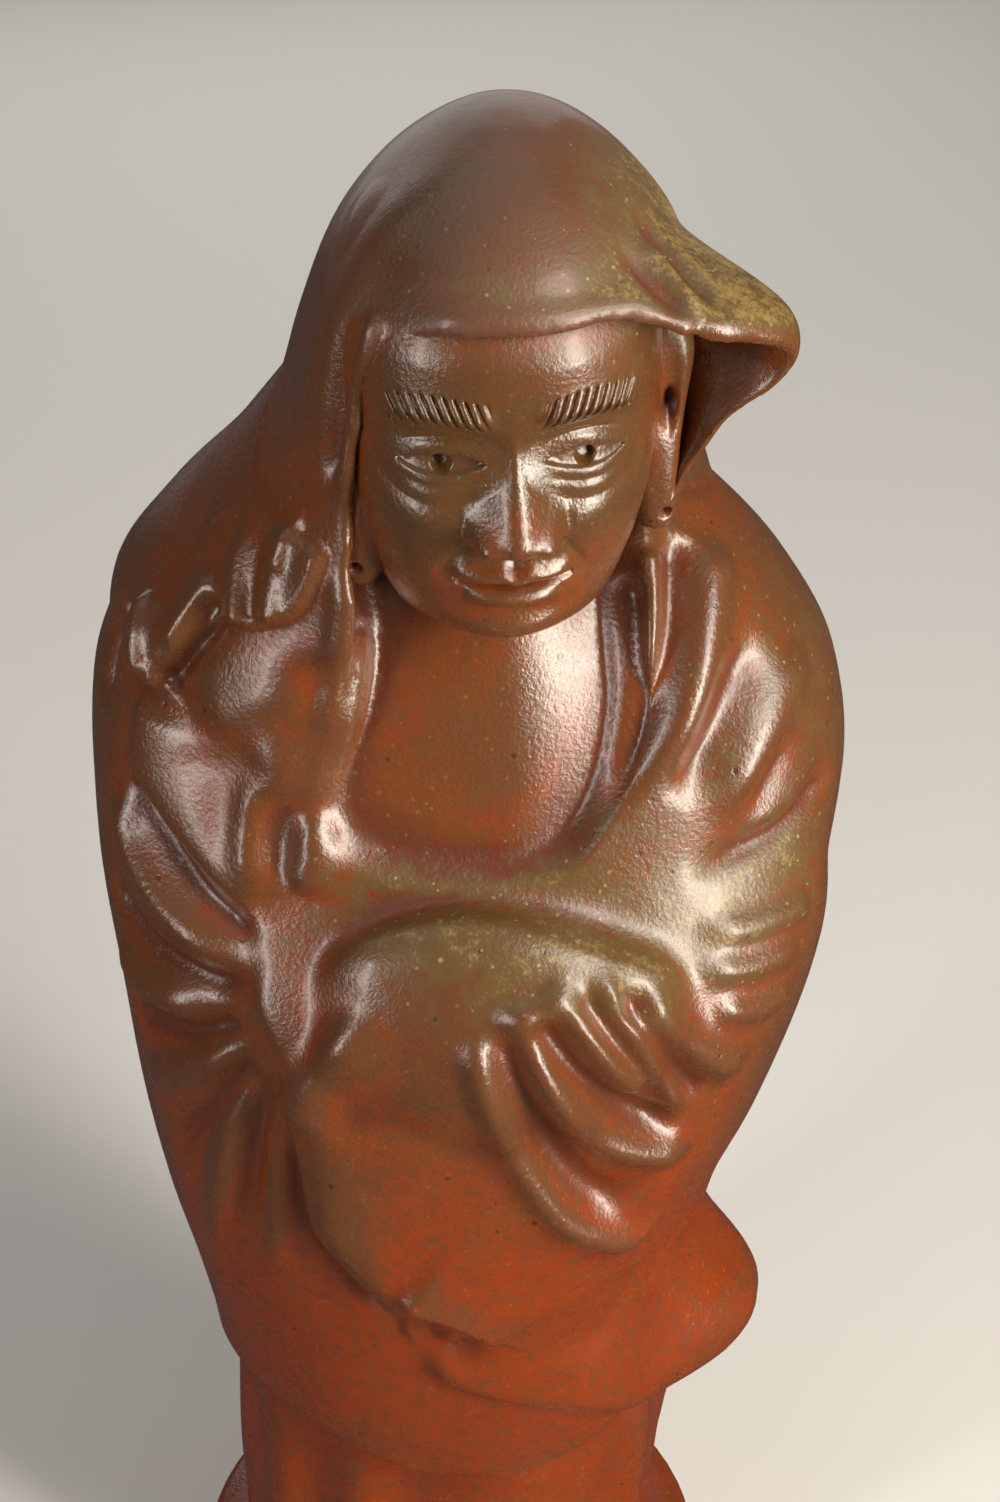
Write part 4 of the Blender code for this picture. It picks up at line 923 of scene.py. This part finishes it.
def mark_surface(obj):
    """Stores where the clay is hollow, creased, raised, strewn with ash, low, bare or dry."""
    points = get_points(obj)
    ends = edge_ends(obj)
    sharp = get_normals(obj, 2)
    broad = get_normals(obj, 30)
    fine = depth_below(points, sharp, ends, FINE_ROUNDS)
    wide = depth_below(points, sharp, ends, WIDE_ROUNDS)
    x, y, z = points.T
    hollow = ease(fine / 0.42) * 0.6 + ease(wide / 2.0) * 0.7
    raised = ease(-fine / 0.35) * 0.55 + ease(-wide / 1.6) * 0.6
    chest = dome(x - 5, z - 224, 22, 24) * ease((-y - 20) / 6)
    store(obj, "hollow", hollow * (1 - 0.75 * chest), 2)
    store(obj, "crease", ease((fine - 0.25) / 0.7), 1)
    store(obj, "raised", raised)
    store(obj, "ash", ash_fall(x, y, z, broad) * (1 - 0.85 * ease(fine / 0.5)))
    store(obj, "low", ease((165 - z) / 70))
    bare = inside_head(points)
    store(obj, "face", bare)
    store(obj, "dry", ease((z - 284) / 9) * ease((40 - x) / 14) * (1 - bare))


def inside_head(points):
    """1 on the face, 0 on the ears and on the cloth around it."""
    away = np.linalg.norm((points - np.asarray(HEAD_AT)) / (27.0, 29.5, 36.0), axis=1)
    x, y, _ = points.T
    return ease((1.06 - away) / 0.06) * ease((24 - np.abs(x - 10)) / 8) * ease((-16 - y) / 12)


def ash_fall(x, y, z, normals):
    """Ash settled on what faces up: hood, brim, shoulder and the shelf of the arms."""
    fall = normals @ np.asarray(ASH_FALLS_FROM)
    up = ease((fall - 0.12) / 0.6)
    front = ease((-y - 14) / 14)
    wing = ease((x - 14) / 20) * ease((z - 268) / 10)
    brim = dome(0, z - 295, 1, 6.5) * ease((-y - 26) / 8)
    crown = ease((z - 302) / 6)
    shelf = dome(x - 8, z - 190, 50, 15) * front
    shoulder = dome(x - 50, z - 200, 26, 30)
    arm = dome(x + 42, z - 185, 22, 30)
    return up * np.clip(0.08 + 0.9 * wing + 0.45 * brim + 0.10 * crown + 0.65 * shelf
                        + 0.5 * shoulder + 0.3 * arm, 0, 1)


# The clay

def node(tree, kind, x, y, **settings):
    made = tree.nodes.new(kind)
    made.location = (x, y)
    for name, value in settings.items():
        setattr(made, name, value)
    return made


def settle(made, values):
    for name, value in values.items():
        made.inputs[name].default_value = value


class Clay:
    """Builds the clay's nodes with short calls, each giving back the socket to go on with."""

    def __init__(self, name):
        self.material = bpy.data.materials.new(name)
        self.material.use_nodes = True
        self.tree = self.material.node_tree
        self.shader = self.tree.nodes["Principled BSDF"]
        self.place = node(self.tree, "ShaderNodeTexCoord", -2200, 0).outputs["Object"]
        self.row = 0

    def next_place(self):
        self.row += 1
        return -2000 + 220 * (self.row % 8), 900 - 200 * (self.row // 8)

    def put(self, socket, value):
        if isinstance(value, bpy.types.NodeSocket):
            self.tree.links.new(value, socket)
        else:
            socket.default_value = value

    def mark(self, name):
        made = node(self.tree, "ShaderNodeAttribute", *self.next_place(), attribute_name=name)
        return made.outputs["Fac"]

    def noise(self, size, detail=3.0, rough=0.55, warp=0.0, shift=0.0):
        """Cloudy variation, 0 to 1, its clouds of about the size given in metres."""
        place = self.place
        if shift:
            moved = node(self.tree, "ShaderNodeVectorMath", *self.next_place(), operation="ADD")
            self.put(moved.inputs[0], place)
            moved.inputs[1].default_value = (shift, shift * 0.7, -shift)
            place = moved.outputs[0]
        made = node(self.tree, "ShaderNodeTexNoise", *self.next_place())
        self.put(made.inputs["Vector"], place)
        settle(made, {"Scale": 1.0 / size, "Detail": detail})
        settle(made, {"Roughness": rough, "Distortion": warp})
        return made.outputs["Fac"]

    def spots(self, spacing):
        """Distance from the nearest of scattered points, in spacings."""
        made = node(self.tree, "ShaderNodeTexVoronoi", *self.next_place())
        self.put(made.inputs["Vector"], self.place)
        settle(made, {"Scale": 1.0 / spacing, "Randomness": 1.0})
        return made.outputs["Distance"]

    def spread(self, value, low, high, out_low=0.0, out_high=1.0):
        made = node(self.tree, "ShaderNodeMapRange", *self.next_place())
        made.interpolation_type = "SMOOTHSTEP"
        self.put(made.inputs["Value"], value)
        settle(made, {"From Min": low, "From Max": high, "To Min": out_low, "To Max": out_high})
        return made.outputs["Result"]

    def sum(self, *values):
        return self.chain("ADD", values)

    def times(self, *values):
        return self.chain("MULTIPLY", values)

    def less(self, value, taken):
        return self.chain("SUBTRACT", (value, taken))

    def chain(self, operation, values):
        total = values[0]
        for value in values[1:]:
            made = node(self.tree, "ShaderNodeMath", *self.next_place(), operation=operation)
            self.put(made.inputs[0], total)
            self.put(made.inputs[1], value)
            total = made.outputs[0]
        return total

    def mix(self, share, below, above):
        made = node(self.tree, "ShaderNodeMix", *self.next_place(), data_type="RGBA")
        self.put(made.inputs["Factor"], share)
        self.put(made.inputs[6], below)
        self.put(made.inputs[7], above)
        return made.outputs[2]

    def bump(self, height, strength, distance, after=None):
        made = node(self.tree, "ShaderNodeBump", *self.next_place())
        self.put(made.inputs["Height"], height)
        settle(made, {"Strength": strength, "Distance": distance})
        if after is not None:
            self.put(made.inputs["Normal"], after)
        return made.outputs["Normal"]


# Colours of the fired clay, and the painted shade of its hollows and creases, in linear light
EMBER = (0.205, 0.027, 0.003, 1)
ORANGE = (0.240, 0.034, 0.002, 1)
RUSSET = (0.172, 0.046, 0.009, 1)
PLUM = (0.125, 0.044, 0.015, 1)
HOLLOW_SHADE = (0.085, 0.024, 0.011, 1)
# painted shade for the hollows of the upper body
UMBER = (0.090, 0.045, 0.014, 1)
OLIVE = (0.120, 0.068, 0.018, 1)
YELLOW_ASH = (0.320, 0.210, 0.065, 1)
# painted shade for the creases
CREASE_SHADE = (0.090, 0.014, 0.004, 1)
DARK_SPOT = (0.020, 0.010, 0.008, 1)
PALE_SPOT = (0.420, 0.300, 0.110, 1)

# Sizes of what varies in the clay, in metres
CLOUDS = 0.030
MOTTLE = 0.009
GRAIN = 0.0022
PEEL = 0.0013
FLECK = 0.0007
PINS_APART = 0.0066
SPECKS_APART = 0.0024

# How the clay shines all over
SHINE = {"Metallic": 0.0, "Specular IOR Level": 0.75, "Coat Weight": 0.25, "Coat Roughness": 0.18}


def fired_clay():
    c = Clay("fired clay")
    hollow, raised, ash = c.mark("hollow"), c.mark("raised"), c.mark("ash")
    low, face, crease, dry = c.mark("low"), c.mark("face"), c.mark("crease"), c.mark("dry")
    clouds = c.noise(CLOUDS, 4.0, 0.6, 0.4)
    mottle = c.noise(MOTTLE, 5.0, 0.62, 0.6, 0.31)
    grain = c.noise(GRAIN, 4.0, 0.6, 0.0, 0.17)
    fleck = c.noise(FLECK, 3.0, 0.6, 0.0, 0.53)

    body = c.mix(c.spread(c.sum(clouds, c.times(low, 0.45)), 0.42, 0.85), RUSSET, ORANGE)
    body = c.mix(c.spread(mottle, 0.42, 0.68, 0.0, 0.6), body, EMBER)
    dulled = c.less(c.sum(raised, c.times(mottle, 0.6)), c.times(low, 0.75))
    body = c.mix(c.spread(dulled, 0.30, 0.95, 0.0, 0.85), body, PLUM)
    sunk = c.spread(hollow, 0.15, 0.80)
    body = c.mix(c.times(sunk, c.sum(c.times(low, 0.45), 0.35)), body, EMBER)
    # painted shade: the hollows of the upper body are darkened to a dark wine colour
    body = c.mix(c.times(sunk, c.less(0.60, low)), body, HOLLOW_SHADE)
    # painted shade: the creases are darkened, more so low on the body
    body = c.mix(c.times(c.spread(crease, 0.25, 1.0), c.sum(c.times(low, 0.45), 0.3)), body, CREASE_SHADE)
    body = c.mix(c.spread(c.sum(grain, c.times(fleck, 0.5)), 0.68, 0.90, 0.0, 0.42), body, UMBER)
    body = c.mix(c.times(face, c.spread(grain, 0.2, 0.8, 0.7, 0.95)), body, UMBER)

    strewn = c.sum(ash, c.times(c.less(mottle, 0.5), 1.1), c.times(c.less(grain, 0.5), 1.0))
    body = c.mix(c.spread(strewn, 0.22, 0.70, 0.0, 0.9), body, OLIVE)
    thick = c.spread(c.sum(strewn, c.less(fleck, 0.5)), 0.70, 1.25, 0.0, 0.9)
    body = c.mix(thick, body, YELLOW_ASH)

    pins = c.spread(c.sum(c.spots(PINS_APART), c.times(mottle, 0.16)), 0.125, 0.16, 1.0, 0.0)
    body = c.mix(c.times(pins, 0.6), body, DARK_SPOT)
    specks = c.spread(c.sum(c.spots(SPECKS_APART), c.times(mottle, 0.3)), 0.22, 0.30, 1.0, 0.0)
    body = c.mix(c.times(specks, c.spread(strewn, 0.0, 0.6, 0.15, 0.6)), body, PALE_SPOT)
    c.put(c.shader.inputs["Base Color"], body)

    dull = c.sum(c.times(mottle, 0.16), c.times(grain, 0.16), c.times(hollow, 0.08))
    dull = c.sum(dull, c.times(ash, 0.16), c.times(dry, 0.24), 0.10)
    c.put(c.shader.inputs["Roughness"], dull)
    peel = c.bump(c.noise(PEEL, 2.0, 0.5, 0.2, 0.71), 0.20, 0.0003)
    fine = c.bump(fleck, 0.50, 0.00028, peel)
    c.put(c.shader.inputs["Normal"], c.bump(pins, 0.25, -0.0003, fine))
    settle(c.shader, SHINE)
    return c.material


def plain(name, colour, roughness):
    material = bpy.data.materials.new(name)
    material.use_nodes = True
    shader = material.node_tree.nodes["Principled BSDF"]
    settle(shader, {"Base Color": colour, "Roughness": roughness})
    return material


# The piece, the floor, the lights and the camera

SHARP_EDGE = math.radians(75)
FLOOR_SIZE = 6.0
FLOOR_COLOUR = (0.80, 0.78, 0.75, 1)
FLOOR_ROUGHNESS = 0.85
SENSOR_WIDTH = 24.0

# Each light: where it stands, how wide and high it is, its power and its colour
LIGHTS = {
    "key": ((0.60, -0.46, 0.34), (0.17, 0.52), 7.6, (1.0, 0.93, 0.80)),
    "high": ((0.52, -0.36, 0.76), (0.42, 0.30), 4.0, (1.0, 0.95, 0.86)),
    "left": ((-0.56, -0.45, 0.34), (0.075, 0.46), 2.1, (1.0, 0.92, 0.86)),
    "above": ((-0.15, 0.20, 1.05), (1.2, 0.9), 1.9, (1.0, 0.98, 0.95)),
    "back": ((-0.10, 0.85, 0.40), (0.7, 0.6), 1.4, (1.0, 0.97, 0.93)),
}
LIT_POINT = (0, 0, 0.20)
STUDIO = {"Color": (0.80, 0.82, 0.86, 1), "Strength": 0.06}


def to_real_size(obj):
    """From figure units above the base to metres above the underside, over the base's middle."""
    lift = Matrix.Translation((0, 0, BASE_HEIGHT))
    bake_transform(obj, lift @ Matrix.Scale(UNIT, 4) @ Matrix.Translation(-BASE_MIDDLE))


def drop_crumbs(obj):
    """Keeps the one closed skin, without the loose crumbs that cutting can leave."""
    bm = bmesh.new()
    bm.from_mesh(obj.data)
    shells = []
    unseen = set(bm.verts)
    while unseen:
        shell = []
        waiting = [unseen.pop()]
        while waiting:
            point = waiting.pop()
            shell.append(point)
            joined = {edge.other_vert(point) for edge in point.link_edges} & unseen
            unseen -= joined
            waiting.extend(joined)
        shells.append(shell)
    shells.sort(key=len)
    for shell in shells[:-1]:
        bmesh.ops.delete(bm, geom=shell, context="VERTS")
    bm.to_mesh(obj.data)
    bm.free()


def build_statue():
    statue = thin_out(build_cloth(), CLOTH_TRIANGLES)
    combine(statue, build_base(), "UNION")
    for side in (-1, 1):
        combine(statue, build_foot(side), "UNION")
    combine(statue, build_head(), "UNION")
    drop_crumbs(statue)
    mark_surface(statue)
    to_real_size(statue)
    statue.name = "fired_statue"
    statue.data.materials.clear()
    statue.data.materials.append(fired_clay())
    statue.data.polygons.foreach_set("use_smooth", [True] * len(statue.data.polygons))
    statue.data.set_sharp_from_angle(angle=SHARP_EDGE)
    return statue


def build_floor():
    bpy.ops.mesh.primitive_plane_add(size=FLOOR_SIZE, location=(0, 0, 0))
    floor = bpy.context.active_object
    floor.name = "floor"
    floor.data.materials.append(plain("floor", FLOOR_COLOUR, FLOOR_ROUGHNESS))
    floor.visible_glossy = False


def soft_light(name, place, size, power, colour):
    lamp = bpy.data.lights.new(name, "AREA")
    lamp.shape = "RECTANGLE"
    lamp.size, lamp.size_y = size
    lamp.energy = power
    lamp.color = colour
    obj = bpy.data.objects.new(name, lamp)
    bpy.context.scene.collection.objects.link(obj)
    obj.location = place
    obj.rotation_euler = (Vector(LIT_POINT) - Vector(place)).to_track_quat("-Z", "Y").to_euler()


def build_lights():
    for name, settings in LIGHTS.items():
        soft_light(name, *settings)
    world = bpy.data.worlds.new("studio")
    bpy.context.scene.world = world
    world.use_nodes = True
    settle(world.node_tree.nodes["Background"], STUDIO)
    bpy.context.scene.view_settings.view_transform = "Standard"


def build_camera():
    camera = bpy.data.cameras.new("camera")
    camera.sensor_fit = "AUTO"
    camera.sensor_width = SENSOR_WIDTH
    camera.lens = SENSOR_WIDTH / 2 / HALF_FIELD
    obj = bpy.data.objects.new("camera", camera)
    bpy.context.scene.collection.objects.link(obj)
    obj.location = (EYE - BASE_MIDDLE) * UNIT + Vector((0, 0, BASE_HEIGHT))
    obj.rotation_euler = (math.radians(90) - EYE_DOWN, 0, 0)
    bpy.context.scene.camera = obj


def main():
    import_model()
    build_camera()
    statue = build_statue()
    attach(statue, "root")
    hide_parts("statue")
    build_floor()
    build_lights()


main()
